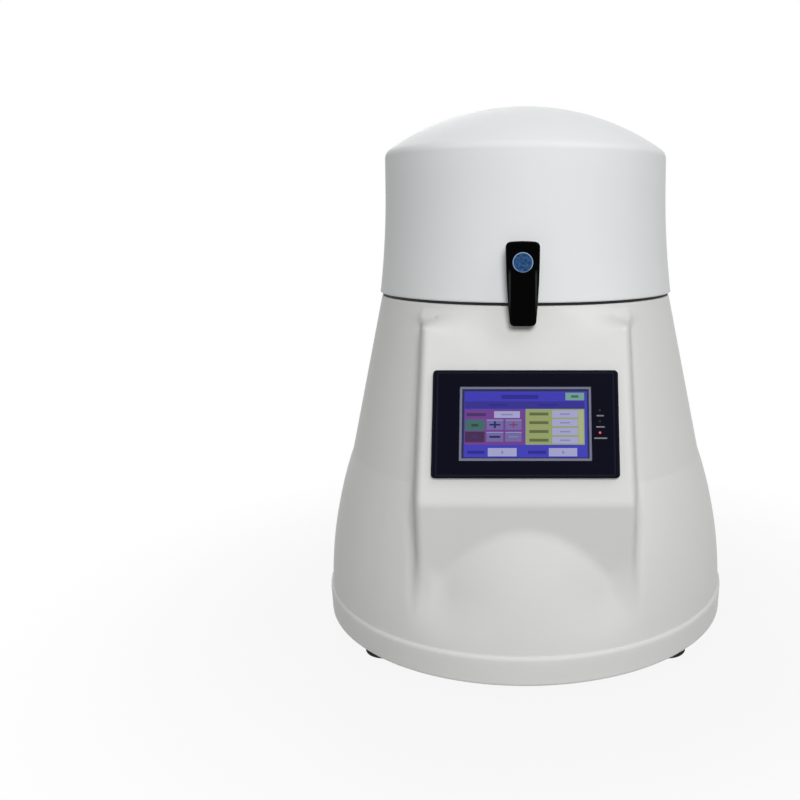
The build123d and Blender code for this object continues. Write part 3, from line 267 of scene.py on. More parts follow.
def workedMetal(name):
    # Brushed, ground, turned or plated metal: the tool's lines only break up the gloss. They are drawn about
    # a millimetre wide, some ten times coarser than real ones, so that they show.
    p = metalSettings[name]
    material, tree, shader, place = newMaterial(name, {
        "Base Color": linearColour(p["colour"]), "Metallic": 1.0})
    lines = addNode(tree, "ShaderNodeMapping", inputs={"Vector": place, "Scale": p["stretch"]})
    grain = addNode(tree, "ShaderNodeTexNoise", inputs={
        "Vector": lines.outputs[0], "Scale": 1 / (p["grain"] * mm), "Detail": 3.0})
    low, high = p["rough"]
    spread = addNode(tree, "ShaderNodeMapRange", inputs={
        "Value": grain.outputs[0], "To Min": low, "To Max": high})
    bump = addNode(tree, "ShaderNodeBump", inputs={
        "Strength": 0.15, "Distance": lineDepth * mm, "Height": grain.outputs[0]})
    feed(tree, shader, {"Roughness": spread.outputs[0], "Normal": bump.outputs[0]})
    return material


enamelSettings = {"colour": "#4A5056", "roughness": 0.4, "lump": 1.8, "depth": 0.06}


def castEnamel():
    # Iron casting under grey stove enamel: the sand-cast lumps still show through the paint.
    p = enamelSettings
    material, tree, shader, place = newMaterial("castEnamel", {
        "Base Color": linearColour(p["colour"]), "Roughness": p["roughness"], "IOR": 1.5})
    sand = addNode(tree, "ShaderNodeTexNoise", inputs={
        "Vector": place, "Scale": 1 / (p["lump"] * mm), "Detail": 3.0})
    bump = addNode(tree, "ShaderNodeBump", inputs={
        "Strength": 0.5, "Distance": p["depth"] * mm, "Height": sand.outputs[0]})
    feed(tree, shader, {"Normal": bump.outputs[0]})
    return material


badgeSettings = {
    "ringStart": 7.2, "ringSoft": 0.2,  # from the badge's centre
    "deep": "#0A2650", "bright": "#255D92", "ring": "#8CA5C4", "rough": (0.22, 0.38),
    "mottle": 1.9, "mottleFrom": 0.35, "mottleTo": 0.7,  # its size, and its levels from deep to bright
}


def badgeEnamel():
    # Pressed aluminium disc: mottled blue lacquer inside a bare polished ring.
    p = badgeSettings
    material, tree, shader, place = newMaterial("badgeEnamel", {"IOR": 1.5, "Specular IOR Level": 0.3})
    offset = addNode(tree, "ShaderNodeVectorMath", {"operation": "SUBTRACT"}, {
        0: place, 1: nodeCentre("latch_badge")})
    flat = addNode(tree, "ShaderNodeVectorMath", {"operation": "MULTIPLY"}, {
        0: offset.outputs[0], 1: (1, 0, 1)})
    radius = addNode(tree, "ShaderNodeVectorMath", {"operation": "LENGTH"}, {0: flat.outputs[0]})
    ring = addNode(tree, "ShaderNodeMapRange", inputs={
        "Value": radius.outputs["Value"], "From Min": p["ringStart"] * mm,
        "From Max": (p["ringStart"] + p["ringSoft"]) * mm})
    mottle = addNode(tree, "ShaderNodeTexNoise", inputs={
        "Vector": place, "Scale": 1 / (p["mottle"] * mm), "Detail": 2.0})
    spread = addNode(tree, "ShaderNodeMapRange", inputs={
        "Value": mottle.outputs[0], "From Min": p["mottleFrom"], "From Max": p["mottleTo"]})
    blue = addNode(tree, "ShaderNodeMix", {"data_type": "RGBA"}, {
        0: spread.outputs[0], 6: linearColour(p["deep"]), 7: linearColour(p["bright"])})
    both = addNode(tree, "ShaderNodeMix", {"data_type": "RGBA"}, {
        0: ring.outputs[0], 6: blue.outputs[2], 7: linearColour(p["ring"])})
    low, high = p["rough"]
    rough = addNode(tree, "ShaderNodeMapRange", inputs={
        "Value": mottle.outputs[0], "To Min": low, "To Max": high})
    feed(tree, shader, {"Base Color": both.outputs[2], "Metallic": ring.outputs[0],
                        "Roughness": rough.outputs[0]})
    return material


lightSettings = {
    "litBelow": 209.0,  # above the table: only the lowest light is on
    "off": "#14141A", "on": "#B0444A", "glow": 0.9, "ripple": 0.4, "rough": (0.15, 0.3),
}


def lightLens():
    # Small cast epoxy lens: dark when off, an even red glow when lit.
    p = lightSettings
    material, tree, shader, place = newMaterial("lightLens", {"IOR": 1.5, "Specular IOR Level": 0.3})
    height = addNode(tree, "ShaderNodeSeparateXYZ", inputs={0: place}).outputs["Z"]
    lit = addNode(tree, "ShaderNodeMath", {"operation": "LESS_THAN"}, {0: height, 1: p["litBelow"] * mm})
    colour = addNode(tree, "ShaderNodeMix", {"data_type": "RGBA"}, {
        0: lit.outputs[0], 6: linearColour(p["off"]), 7: linearColour(p["on"])})
    strength = addNode(tree, "ShaderNodeMath", {"operation": "MULTIPLY"}, {0: lit.outputs[0], 1: p["glow"]})
    ripple = addNode(tree, "ShaderNodeTexNoise", inputs={"Vector": place, "Scale": 1 / (p["ripple"] * mm)})
    low, high = p["rough"]
    rough = addNode(tree, "ShaderNodeMapRange", inputs={
        "Value": ripple.outputs[0], "To Min": low, "To Max": high})
    feed(tree, shader, {"Base Color": colour.outputs[2], "Emission Color": colour.outputs[2],
                        "Emission Strength": strength.outputs[0], "Roughness": rough.outputs[0]})
    return material


white = {part: sprayedPaint(part + "Paint", housingPaint[part]) for part in ("body", "lid")}
plastic = {name: mouldedPlastic(name) for name in plasticSettings}
rubber = {name: mouldedRubber(name) for name in rubberSettings}
metal = {name: workedMetal(name) for name in metalSettings}
enamel = castEnamel()
badge = badgeEnamel()
lens = lightLens()
# paint the highlight lines into the latch's and the bezel's colour
for name in paintedHighlights:
    paintHighlightLine(name)
print("materials made")


def dress(material, *nodes):
    for name in nodes:
        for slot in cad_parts[name].material_slots:
            slot.material = material


dress(plastic["latchGloss"], "latch_lever")
dress(plastic["bezelSatin"], "panel_bezel")
dress(plastic["caseSatin"], "panel_housing", "motor_drive", "fan_frame", "fan_rotor", "power_inlet",
      "fuse_drawer")
dress(plastic["rockerGloss"], "power_rocker")
dress(plastic["knobSatin"], "clamp_knob")
dress(plastic["linerSatin"], "lid_liner")
dress(plastic["screenSurround"], "touch_screen")
dress(plastic["boardLacquer"], "controller_board")
dress(rubber["sealRubber"], "rim_gasket")
dress(rubber["footRubber"], "isolators")
dress(rubber["beltRubber"], "drive_belt")
dress(metal["brushedStainless"], "chamber_tub", "press_plate", "clamp_stud", "hinge_base_leaf",
      "lid_hinge_leaf", "latch_bracket", "latch_keeper", "vent_grille")
dress(metal["groundSteel"], "base_plate", "base_screws", "foot_screws", "guide_posts", "crank_bearings",
      "motor_bracket", "hinge_pin", "latch_pin", "latch_spring", "drive_shaft", "wrist_pin", "guide_rods",
      "crank_pin", "crankshaft", "motor_shaft")
dress(metal["anodisedAluminium"], "platform", "sample_block", "machine_bed", "guide_plate", "connecting_rod",
      "crank_pulley", "motor_pulley")
dress(metal["machinedBronze"], "guide_bushes", "board_standoffs")
dress(metal["platedMagnet"], "latch_magnet")
dress(enamel, "motor_body", "bearing_blocks", "crank_disc")
dress(badge, "latch_badge")
dress(lens, "status_lights")
print("nodes dressed")


# Housing skin: a bell with the console melted into its front and a flat pad at its rear
housing = {
    "rim": 12.0, "deck": 302.0, "lipRadius": 186.2, "rimRadius": 185.0, "lipTop": 32.0, "hipStart": 35.0,
    "hipRadius": 184.2, "kinkRadius": 163.8, "kinkHeight": 157.0, "seamRadius": 134.8, "wall": 4.0,
    "openingRadius": 122.0, "openingRound": 0.6, "deckRound": 1.6, "deckStep": 8.0,
    "rimRound": 0.8, "lipFoot": 2.0,
    "lipTurn": 13.5,  # degrees round the lip's edge where its arc of rows starts
    "frontHalf": 42.0, "rearHalf": 26.0,  # degrees that the console and the rear pad take each way
    "frontColumns": 170, "rearColumns": 90, "sideColumns": 30,
    # heights where the wall's rows change their spacing, and how many there are up to the next one
    "wallEdges": [36.0, 52.0, 58.0, 144.0, 162.0, 270.0], "wallRows": [8, 8, 42, 18, 34, 25],
    "lipRows": 5, "lipTurnRows": 6, "deckRows": 5, "innerRows": 16,
}
console = {
    "edge": 153.0, "lowTilt": 14.0,  # fold between the sloped face and the plane below it
    "halfTop": 82.5, "halfEdge": 84.5, "top": 290.0, "draft": 9.0, "edgeRound": 9.0, "foldRound": 2.0,
    "capCentre": 279.0, "capSide": 285.0,  # arc over the face, where the wall starts to fall back
    "capEnd": 298.0, "capEndSide": 291.5,  # and where it has fallen to the bell
    "capLeast": 0.36, "capSink": 1.2, "capRound": 5.0,  # its least slope, the slope under the bell, its edge
    "reach": 80.0,  # degrees each way
}
melt = {
    # width of the console's blend into the bell at the arch and at its sides, what it gains low down and at
    # the top corners, and where each of them starts and over how far it grows
    "arch": 2.4, "side": 2.2, "sideFrom": 66.0, "sideOver": 12.0,
    "low": 8.0, "lowFrom": 165.0, "lowOver": 40.0,
    "top": 8.0, "topFrom": 278.0, "topOver": 12.0, "cornerFrom": 15.0, "cornerOver": 60.0,
    "topEnd": 6.0,  # under the deck, where the corners' gain fades again
}
belly = {
    "round": 112.0, "half": 58.0, "halfSoft": 40.0,
    "low": 36.0, "lowSoft": 44.0, "high": 175.0, "highSoft": 20.0,
}
rearPad = {"depth": 172.0, "half": 62.0, "bottom": 54.0, "top": 146.0, "soft": 1.6}
opening = {
    # round hole at the fan, straight one at the inlet, both through the pad's wall
    "fanRadius": 28.5, "wellX": 29.5, "wellZ": 38.5,  # the well is the fan's hole in the coarser inner wall
    "inletHalfX": 14.0, "inletHalfZ": 35.0,
    "reach": 8.0, "skin": 1.0,  # how far in from the pad's face both walls lie, and the outer one alone
}
leastCosine = 0.05  # keeps a division finite towards the sides


def softMin(a, b, k):
    # min(a, b) - h^2 k / 4 with h = max(k - |a - b|, 0) / k: a rounded edge about k wide
    h = np.maximum(k - np.abs(a - b), 0) / k
    return np.minimum(a, b) - h * h * k / 4


def softMax(a, b, k):
    return -softMin(-a, -b, k)


def smoothStep(t):
    # 3 t^2 - 2 t^3, level before 0 and after 1
    t = np.clip(t, 0, 1)
    return t * t * (3 - 2 * t)


def bellRadius(z):
    # hip: arc that starts upright at the hip's radius and ends at the kink; above it a straight cone
    h = housing
    rise, fall = h["kinkHeight"] - h["hipStart"], h["hipRadius"] - h["kinkRadius"]
    bend = (rise * rise + fall * fall) / (2 * fall)
    hip = h["hipRadius"] - bend + np.sqrt(np.maximum(bend * bend - np.maximum(z - h["hipStart"], 0) ** 2, 0))
    slope = (h["kinkRadius"] - h["seamRadius"]) / (h["deck"] - h["kinkHeight"])
    cone = h["seamRadius"] + (h["deck"] - z) * slope
    return np.where(z < h["kinkHeight"], hip, cone)


def consoleWall(angle, z):
    # distance from the axis in a direction: sloped face over the lower plane, cut by the drafted sides
    c, s = console, slopedFace
    tilt = math.tan(math.radians(s["tilt"]))
    face = s["depth"] + (s["height"] - z) * tilt
    edgeDepth = s["depth"] + (s["height"] - c["edge"]) * tilt
    low = edgeDepth - (c["edge"] - z) * math.tan(math.radians(c["lowTilt"]))
    depth = softMin(face, low, c["foldRound"])
    half = c["halfEdge"] + (z - c["edge"]) * (c["halfTop"] - c["halfEdge"]) / (c["top"] - c["edge"])
    draft = math.tan(math.radians(c["draft"]))
    cosine = np.maximum(np.cos(angle), leastCosine)
    side = (half + depth * draft) / np.maximum(np.abs(np.sin(angle)) + cosine * draft, leastCosine)
    return softMin(depth / cosine, side, c["edgeRound"])


def consoleRadius(angle, z):
    # above a shallow arc across the face the wall falls back to the bell, in each direction at one slope,
    # and past that it sinks under the bell alike all round
    c = console
    across = np.minimum(np.abs(np.tan(angle)) * slopedFace["depth"] / c["halfTop"], 1)
    start = c["capCentre"] + (c["capSide"] - c["capCentre"]) * across ** 2
    end = c["capEnd"] + (c["capEndSide"] - c["capEnd"]) * across ** 2
    ledge = consoleWall(angle, start)
    slope = np.maximum((ledge - bellRadius(end)) / (end - start), c["capLeast"])
    cap = ledge - slope * (np.minimum(z, end) - start) - c["capSink"] * np.maximum(z - end, 0)
    radius = softMin(consoleWall(angle, z), cap, c["capRound"])
    return np.where(np.abs(angle) < math.radians(c["reach"]), radius, 0)


def bellyRadius(angle, z):
    # the hip's front, between the console's sides, is rounder than the bell: its depth is the bell's radius
    # less x^2 / (2 * round), solved along the direction, and it melts back into the bell all round
    b = belly
    bell = bellRadius(z)
    sine, cosine = np.sin(angle), np.maximum(np.cos(angle), leastCosine)
    rounder = 2 * bell / (cosine + np.sqrt(cosine ** 2 + 2 * bell * sine ** 2 / b["round"]))
    share = smoothStep((z - b["low"]) / b["lowSoft"]) * smoothStep((b["high"] - z) / b["highSoft"])
    share = share * smoothStep(1 - (np.abs(sine) * bell - b["half"]) / b["halfSoft"]) * (np.cos(angle) > 0)
    return bell + (rounder - bell) * share


def meltWidth(angle, z):
    m = melt
    x = np.abs(np.sin(angle)) * bellRadius(z)
    side = m["side"] + m["low"] * smoothStep((m["lowFrom"] - z) / m["lowOver"])
    width = m["arch"] + smoothStep((x - m["sideFrom"]) / m["sideOver"]) * (side - m["arch"])
    nearTop = smoothStep((z - m["topFrom"]) / m["topOver"]) * smoothStep((housing["deck"] - z) / m["topEnd"])
    return width + m["top"] * nearTop * smoothStep((x - m["cornerFrom"]) / m["cornerOver"])


def skinRadius(angle, z, inset):
    # outer form in a direction: the bell, with the console melted into it and the rear pad's flat face
    radius = softMax(bellyRadius(angle, z), consoleRadius(angle, z), meltWidth(angle, z))
    p = rearPad
    flat = p["depth"] / np.maximum(-np.cos(angle), leastCosine)
    inside = (np.cos(angle) < 0).astype(float)
    for margin in (p["half"] - np.abs(np.sin(angle)) * flat, z - p["bottom"], p["top"] - z):
        inside = inside * smoothStep(margin / (2 * p["soft"]) + 0.5)
    return radius * (1 - inside) + flat * inside - inset


def stepped(edges, counts):
    # even steps from each edge to the next, without the last edge
    spans = zip(edges, edges[1:], counts)
    return np.concatenate([np.linspace(low, high, count, endpoint=False) for low, high, count in spans])


def spreadAngles():
    # closer columns over the console and the rear pad; zero looks to the front
    h = housing
    front, rear = h["frontHalf"], h["rearHalf"]
    counts = [h["frontColumns"], h["sideColumns"], h["rearColumns"], h["sideColumns"]]
    return np.radians(stepped([-front, front, 180 - rear, 180 + rear, 360 - front], counts))


def housingProfile():
    # rows once round the wall's section as (height, inset from the skin, radius), where one of the last two
    # is None: rim and lip, wall, rounded edge, deck and opening, inner wall
    h = housing
    lip = np.concatenate([
        [(h["hipRadius"] - h["wall"], h["rim"]), (h["rimRadius"] - h["rimRound"], h["rim"]),
         (h["rimRadius"], h["rim"] + h["rimRound"])],
        np.linspace((h["rimRadius"], h["rim"] + h["lipFoot"]), (h["lipRadius"], h["lipTop"]), h["lipRows"]),
        arcPoints(h["hipRadius"], h["lipTop"], h["lipRadius"] - h["hipRadius"], h["hipStart"] - h["lipTop"],
                  h["lipTurn"], 90, h["lipTurnRows"])])
    top, hole = h["deck"], h["openingRadius"]
    edge = top - h["deckRound"]
    wall = stepped(h["wallEdges"] + [edge], h["wallRows"])
    rounded = arcPoints(h["deckRound"], edge, -h["deckRound"], h["deckRound"], 0, 90, h["deckRows"])
    deck = [(h["seamRadius"] - h["deckStep"], top), (hole + h["openingRound"], top),
            (hole, top - h["openingRound"]), (hole, top - h["wall"])]
    inner = np.linspace(top - h["wall"], h["hipStart"], h["innerRows"])
    return ([(z, None, r) for r, z in lip] + [(z, 0.0, None) for z in wall]
            + [(z, inset, None) for inset, z in rounded] + [(z, None, r) for r, z in deck]
            + [(z, h["wall"], None) for z in inner])


def cutOpenings(points, faces):
    # marks the faces over the two rear openings and moves the fan opening's edge onto its circle
    o = opening
    fan, inlet = nodeCentre("fan_frame")[::2] / mm, nodeCentre("power_inlet")[::2] / mm
    middle = points[faces].mean(axis=1)
    fromFan, fromInlet = np.abs(middle[:, ::2] - fan), np.abs(middle[:, ::2] - inlet)
    atRear = middle[:, 1] > rearPad["depth"] - o["reach"]
    outside = middle[:, 1] > rearPad["depth"] - o["skin"]
    fanHole = outside & (np.hypot(*fromFan.T) < o["fanRadius"])
    fanWell = atRear & ~outside & np.all(fromFan < (o["wellX"], o["wellZ"]), axis=1)
    inletHole = atRear & np.all(fromInlet < (o["inletHalfX"], o["inletHalfZ"]), axis=1)
    edge = np.intersect1d(faces[fanHole], faces[~fanHole])
    away = points[edge, ::2] - fan
    points[edge, ::2] = fan + away * o["fanRadius"] / np.hypot(*away.T)[:, None]
    return fanHole | fanWell | inletHole


def makeHousing():
    # point = (radius * sin angle, -radius * cos angle, height), its radius the skin's or fixed for the row
    angle = spreadAngles()
    z, inset, fixed = np.array(housingProfile(), dtype=float).T[:, :, None]
    radius = np.where(np.isnan(fixed), skinRadius(angle, z, inset), fixed)
    x, y = radius * np.sin(angle), -radius * np.cos(angle)
    points = np.stack([x, y, z + 0 * angle], axis=-1).reshape(-1, 3)
    faces = gridFaces(len(z), len(angle), closeRows=True)
    faces = faces[~cutOpenings(points, faces)].tolist()
    piece = makePiece("housingSkin", points, faces, [white["body"]])
    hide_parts("body_shell")
    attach(piece, "base")
    print("housing skin:", len(points), "points")


makeHousing()


# Lid skin
lid = {
    "bottom": 304.3, "rimRadius": 136.6, "wallRadius": 130.8, "flareTop": 400.0, "shoulder": 431.5,
    "top": 475.2, "shoulderRound": 9.0, "wall": 4.0, "flange": 10.0, "flangeRound": 0.5, "edgeRound": 1.4,
    "rimRows": 5, "flareRows": 26, "shoulderRows": 9, "crownRows": 40, "columns": 240,
}


def lidWall(inset):
    # (r, z) from the rim up: flare arc that ends upright, straight wall, shoulder arc, then the crown's arc
    p = lid
    rise, fall = p["flareTop"] - p["bottom"], p["rimRadius"] - p["wallRadius"]
    bend = (rise * rise + fall * fall) / (2 * fall)
    z = np.linspace(p["bottom"], p["flareTop"], p["flareRows"])
    flareRadius = p["wallRadius"] + bend - np.sqrt(bend * bend - (p["flareTop"] - z) ** 2)
    flare = np.stack([flareRadius - inset, z], 1)
    crownRise = p["top"] - p["shoulder"]
    crown = (p["wallRadius"] ** 2 + crownRise ** 2) / (2 * crownRise)
    r = p["shoulderRound"]
    centreZ = p["top"] - crown + math.sqrt((crown - r) ** 2 - (p["wallRadius"] - r) ** 2)
    meet = math.degrees(math.acos((p["wallRadius"] - r) / (crown - r)))
    shoulder = arcPoints(p["wallRadius"] - r, centreZ, r - inset, r - inset, 0, meet, p["shoulderRows"])
    top = arcPoints(0, p["top"] - crown, crown - inset, crown - inset, meet, 90, p["crownRows"])
    return np.concatenate([flare, shoulder, top[1:]])


def makeLid():
    # section turned round the axis: inner wall from the apex down, flange, rounded rim, outer wall up
    p = lid
    low, top, tip = p["bottom"], p["bottom"] + p["wall"], p["rimRadius"] - p["flange"]
    r, e = p["flangeRound"], p["edgeRound"]
    inner = lidWall(p["wall"])[::-1]
    inner = inner[inner[:, 1] > top]
    flange = [(inner[-1, 0], top), (tip + r, top), (tip, top - r), (tip, low + r), (tip + r, low)]
    rim = arcPoints(p["rimRadius"] - e, low + e, e, e, -90, 0, p["rimRows"])
    outer = lidWall(0)
    outer = outer[outer[:, 1] > low + e]
    section = np.concatenate([inner[1:], flange, rim, outer[:-1]])  # both ends stop short of the axis
    rings = revolve(section, p["columns"])
    points = np.concatenate([rings, [(0, 0, p["top"]), (0, 0, p["top"] - p["wall"])]])
    faces = gridFaces(len(section), p["columns"]).tolist()
    faces += tipFaces(len(rings) - p["columns"], p["columns"], len(rings))
    faces += tipFaces(0, p["columns"], len(rings) + 1, turned=True)
    piece = makePiece("lidSkin", points, faces, [white["lid"]])
    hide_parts("lid_shell")
    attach(piece, "lid")
    print("lid skin:", len(points), "points")


makeLid()


# Rubber feet
foot = {
    "top": 18.0, "topRadius": 17.0, "waist": 9.0, "waistRadius": 16.0,
    "flare": 18.3, "lipWide": 1.0, "lipTall": 1.2, "sole": 16.9,
    "bore": 3.2, "recess": 6.6, "recessDepth": 4.0,
    "lipStart": -60.0,  # degrees round the lip's edge from its outermost point, where it leaves the sole
    "lowRows": 7, "highRows": 6, "lipRows": 7, "columns": 72,
}


def makeFoot(name):
    # (r, z): in from the lip to the waist by (1 - share)^2, out to the top by share^2, down the bore and the
    # screw's recess, then round the lip
    p = foot
    x, y, _ = nodeCentre(name) / mm
    lipRadius, lipTop = p["flare"] - p["lipWide"], 2 * p["lipTall"]
    share = np.linspace(0, 1, p["lowRows"])[1:]
    low = np.stack([p["waistRadius"] + (lipRadius - p["waistRadius"]) * (1 - share) ** 2,
                    lipTop + (p["waist"] - lipTop) * share], 1)
    share = np.linspace(0, 1, p["highRows"])[1:]
    high = np.stack([p["waistRadius"] + (p["topRadius"] - p["waistRadius"]) * share ** 2,
                     p["waist"] + (p["top"] - p["waist"]) * share], 1)
    hole = [(p["bore"], p["top"]), (p["bore"], p["recessDepth"]),
            (p["recess"], p["recessDepth"]), (p["recess"], 0)]
    lip = arcPoints(lipRadius, p["lipTall"], p["lipWide"], p["lipTall"], p["lipStart"], 90, p["lipRows"])
    section = np.concatenate([low, high, hole, [(p["sole"], 0)], lip])
    faces = gridFaces(len(section), p["columns"], closeRows=True)[:, ::-1].tolist()
    piece = makePiece(name + "Rubber", revolve(section, p["columns"], x, y), faces, [rubber["footRubber"]])
    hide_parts(name)
    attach(piece, "base")


for name in ("foot_front_left", "foot_front_right", "foot_rear_left", "foot_rear_right"):
    makeFoot(name)
print("feet made")


# Touch screen's picture, of plain fields and keys
panel = {
    "centreHeight": 212.0, "screenFront": 4.3, "litWidth": 98.7, "litHeight": 53.3, "filmThickness": 0.3,
    "glass": "#0A0A10", "unevenness": 0.06, "patchSize": 22.0, "pixel": 0.12,
}
# The rim is painted shade: a darker band round the lit area's edges, where the surround's shadow falls.
displayColours = {
    "rim": "#23244E", "sky": "#3B3AAE", "title": "#3A35AC", "mist": "#302B88", "mint": "#6F9A8E",
    "leaf": "#3C6460", "rose": "#6B3A86", "straw": "#8F9B62", "pale": "#9E9EC6", "lilac": "#6C629A",
    "brick": "#42244A", "blueMark": "#171C55", "redMark": "#7C2F5A", "sun": "#A0A97D", "olive": "#59633F",
    "plum": "#3F2A62", "navy": "#262389", "slate": "#7F81A8", "moss": "#24433F", "edgeLight": "#8F93C0",
}
displayFields = [
    # colour, left, top, right, bottom as shares of the lit area; a later field lies over an earlier one
    # the rim field is a painted shadow along the edges, with the sky laid over its middle
    ("rim", 0.0, 0.0, 1.0, 1.0), ("sky", 0.018, 0.035, 0.985, 0.985),
    # title, status line and corner key
    ("title", 0.022, 0.05, 0.965, 0.18), ("mist", 0.022, 0.18, 0.965, 0.285),
    ("mint", 0.815, 0.053, 0.963, 0.163), ("leaf", 0.86, 0.09, 0.918, 0.126),
    ("navy", 0.31, 0.085, 0.6, 0.145), ("navy", 0.21, 0.215, 0.36, 0.255), ("navy", 0.6, 0.215, 0.76, 0.255),
    # left group: value, start and stop keys, plus and minus keys
    ("rose", 0.022, 0.296, 0.495, 0.805), ("plum", 0.036, 0.35, 0.19, 0.395),
    ("pale", 0.253, 0.322, 0.456, 0.42), ("slate", 0.31, 0.36, 0.4, 0.382),
    ("leaf", 0.026, 0.444, 0.179, 0.605), ("moss", 0.075, 0.505, 0.13, 0.544),
    ("brick", 0.026, 0.617, 0.179, 0.769), ("plum", 0.075, 0.674, 0.13, 0.712),
    ("lilac", 0.194, 0.444, 0.326, 0.592), ("lilac", 0.342, 0.444, 0.469, 0.592),
    ("lilac", 0.194, 0.621, 0.326, 0.76), ("lilac", 0.342, 0.621, 0.469, 0.76),
    ("edgeLight", 0.194, 0.444, 0.326, 0.456), ("edgeLight", 0.342, 0.444, 0.469, 0.456),
    ("edgeLight", 0.194, 0.621, 0.326, 0.633), ("edgeLight", 0.342, 0.621, 0.469, 0.633),
    ("blueMark", 0.217, 0.506, 0.303, 0.53), ("blueMark", 0.2525, 0.468, 0.2675, 0.568),
    ("redMark", 0.374, 0.509, 0.437, 0.527), ("redMark", 0.4, 0.475, 0.411, 0.561),
    ("blueMark", 0.217, 0.678, 0.303, 0.706), ("slate", 0.368, 0.684, 0.443, 0.698),
    # right group: four values with their bars
    ("straw", 0.5, 0.29, 0.963, 0.805), ("sun", 0.914, 0.305, 0.955, 0.79),
    ("pale", 0.71, 0.311, 0.911, 0.414), ("pale", 0.71, 0.438, 0.911, 0.538),
    ("pale", 0.71, 0.565, 0.911, 0.666), ("pale", 0.71, 0.692, 0.911, 0.787),
    ("olive", 0.53, 0.342, 0.68, 0.384), ("olive", 0.53, 0.467, 0.68, 0.509),
    ("olive", 0.53, 0.594, 0.68, 0.636), ("olive", 0.53, 0.719, 0.68, 0.761),
    ("slate", 0.77, 0.354, 0.85, 0.374), ("slate", 0.77, 0.48, 0.85, 0.5),
    ("slate", 0.77, 0.607, 0.85, 0.627), ("slate", 0.77, 0.731, 0.85, 0.751),
    # two values at the bottom
    ("navy", 0.045, 0.89, 0.18, 0.935), ("navy", 0.52, 0.89, 0.66, 0.935),
    ("pale", 0.206, 0.852, 0.431, 0.97), ("pale", 0.682, 0.852, 0.903, 0.97),
    ("slate", 0.31, 0.893, 0.327, 0.933), ("slate", 0.785, 0.893, 0.802, 0.933),
]


def litDisplay(name, hexCode):
    # Backlit panel behind a satin film: even colour with slightly cloudy backlight and a fine pixel grain.
    p = panel
    material, tree, shader, place = newMaterial("display" + name.capitalize(), {
        "Base Color": linearColour(p["glass"]), "Roughness": 0.35, "Specular IOR Level": 0.15,
        "Emission Color": linearColour(hexCode)})
    cloud = addNode(tree, "ShaderNodeTexNoise", inputs={"Vector": place, "Scale": 1 / (p["patchSize"] * mm)})
    pixels = addNode(tree, "ShaderNodeTexNoise", inputs={"Vector": place, "Scale": 1 / (p["pixel"] * mm)})
    total = addNode(tree, "ShaderNodeMath", {"operation": "ADD"}, {
        0: cloud.outputs[0], 1: pixels.outputs[0]})
    strength = addNode(tree, "ShaderNodeMapRange", inputs={
        "Value": total.outputs[0], "From Max": 2.0,
        "To Min": 1 - p["unevenness"], "To Max": 1 + p["unevenness"]})
    feed(tree, shader, {"Emission Strength": strength.outputs[0]})
    return material


def onPanel(across, up, out):
    # point = centre of the panel's back + across * x + up the slope * up + out of it * out
    s, height = slopedFace, panel["centreHeight"]
    lean = math.radians(s["tilt"])
    backY = -s["depth"] - (s["height"] - height) * math.tan(lean)
    return np.stack([across, backY + up * math.sin(lean) - out * math.cos(lean),
                     height + up * math.cos(lean) + out * math.sin(lean)], axis=-1).reshape(-1, 3)


def makeDisplay():
    # flat sheet on the panel, cut at every field's edge
    p = panel
    across = np.unique([field[i] for field in displayFields for i in (1, 3)])
    down = np.unique([field[i] for field in displayFields for i in (2, 4)])
    names = list(displayColours)
    v, u = np.meshgrid(down, across, indexing="ij")
    points = onPanel((u - 0.5) * p["litWidth"], (0.5 - v) * p["litHeight"], p["screenFront"])
    faces = gridFaces(len(down), len(across), closeColumns=False)[:, ::-1].tolist()
    y, x = np.meshgrid((down[:-1] + down[1:]) / 2, (across[:-1] + across[1:]) / 2, indexing="ij")
    colours = np.zeros(y.shape, dtype=np.int32)
    for name, left, top, right, low in displayFields:
        colours[(left < x) & (x < right) & (top < y) & (y < low)] = names.index(name)
    piece = makePiece("displayPicture", points, faces, [litDisplay(n, displayColours[n]) for n in names],
                      faceMaterials=colours.ravel(), smooth=False)
    film = piece.modifiers.new("film", "SOLIDIFY")
    film.thickness = p["filmThickness"] * mm
    film.offset = 1.0
    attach(piece, "base")
    print("display picture:", len(faces), "fields")


makeDisplay()


# Plain printed bars under the status lights
marks = {
    "across": 57.9, "below": 4.2, "tall": 1.0, "back": 5.8, "front": 6.06,
    "places": [(10.1, 5.6), (1.5, 6.4), (-7.1, 10.0)],  # height of the light and width of its bar
    "ink": "#9C9CA6", "wear": 0.25, "wearSize": 0.5,
}


def printedInk():
    # Screen-printed pale ink, thin enough for the black to show through where it has worn.
    p = marks
    material, tree, shader, place = newMaterial("printedInk", {"Roughness": 0.6, "Specular IOR Level": 0.3})
    wear = addNode(tree, "ShaderNodeTexNoise", inputs={
        "Vector": place, "Scale": 1 / (p["wearSize"] * mm), "Detail": 2.0})
    mix = addNode(tree, "ShaderNodeMix", {"data_type": "RGBA"}, {
        0: wear.outputs[0], 6: linearColour(p["ink"]), 7: scaledColour(p["ink"], p["wear"])})
    feed(tree, shader, {"Base Color": mix.outputs[2]})
    return material


def makeMarks():
    # one thin closed box for each light, with its back sunk into the bezel
    p = marks
    u, v = np.array([-0.5, 0.5, 0.5, -0.5] * 2), np.array([-0.5, -0.5, 0.5, 0.5] * 2)
    out = np.array([p["back"]] * 4 + [p["front"]] * 4)
    box = np.array([[3, 2, 1, 0], [4, 5, 6, 7], [0, 1, 5, 4], [1, 2, 6, 5], [2, 3, 7, 6], [3, 0, 4, 7]])
    points = [onPanel(p["across"] + u * wide, rise - p["below"] + v * p["tall"], out)
              for rise, wide in p["places"]]
    faces = [box + 8 * i for i in range(len(points))]
    piece = makePiece("lightMarks", np.concatenate(points), np.concatenate(faces).tolist(), [printedInk()],
                      smooth=False)
    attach(piece, "base")
    print("printed bars:", len(points))


makeMarks()


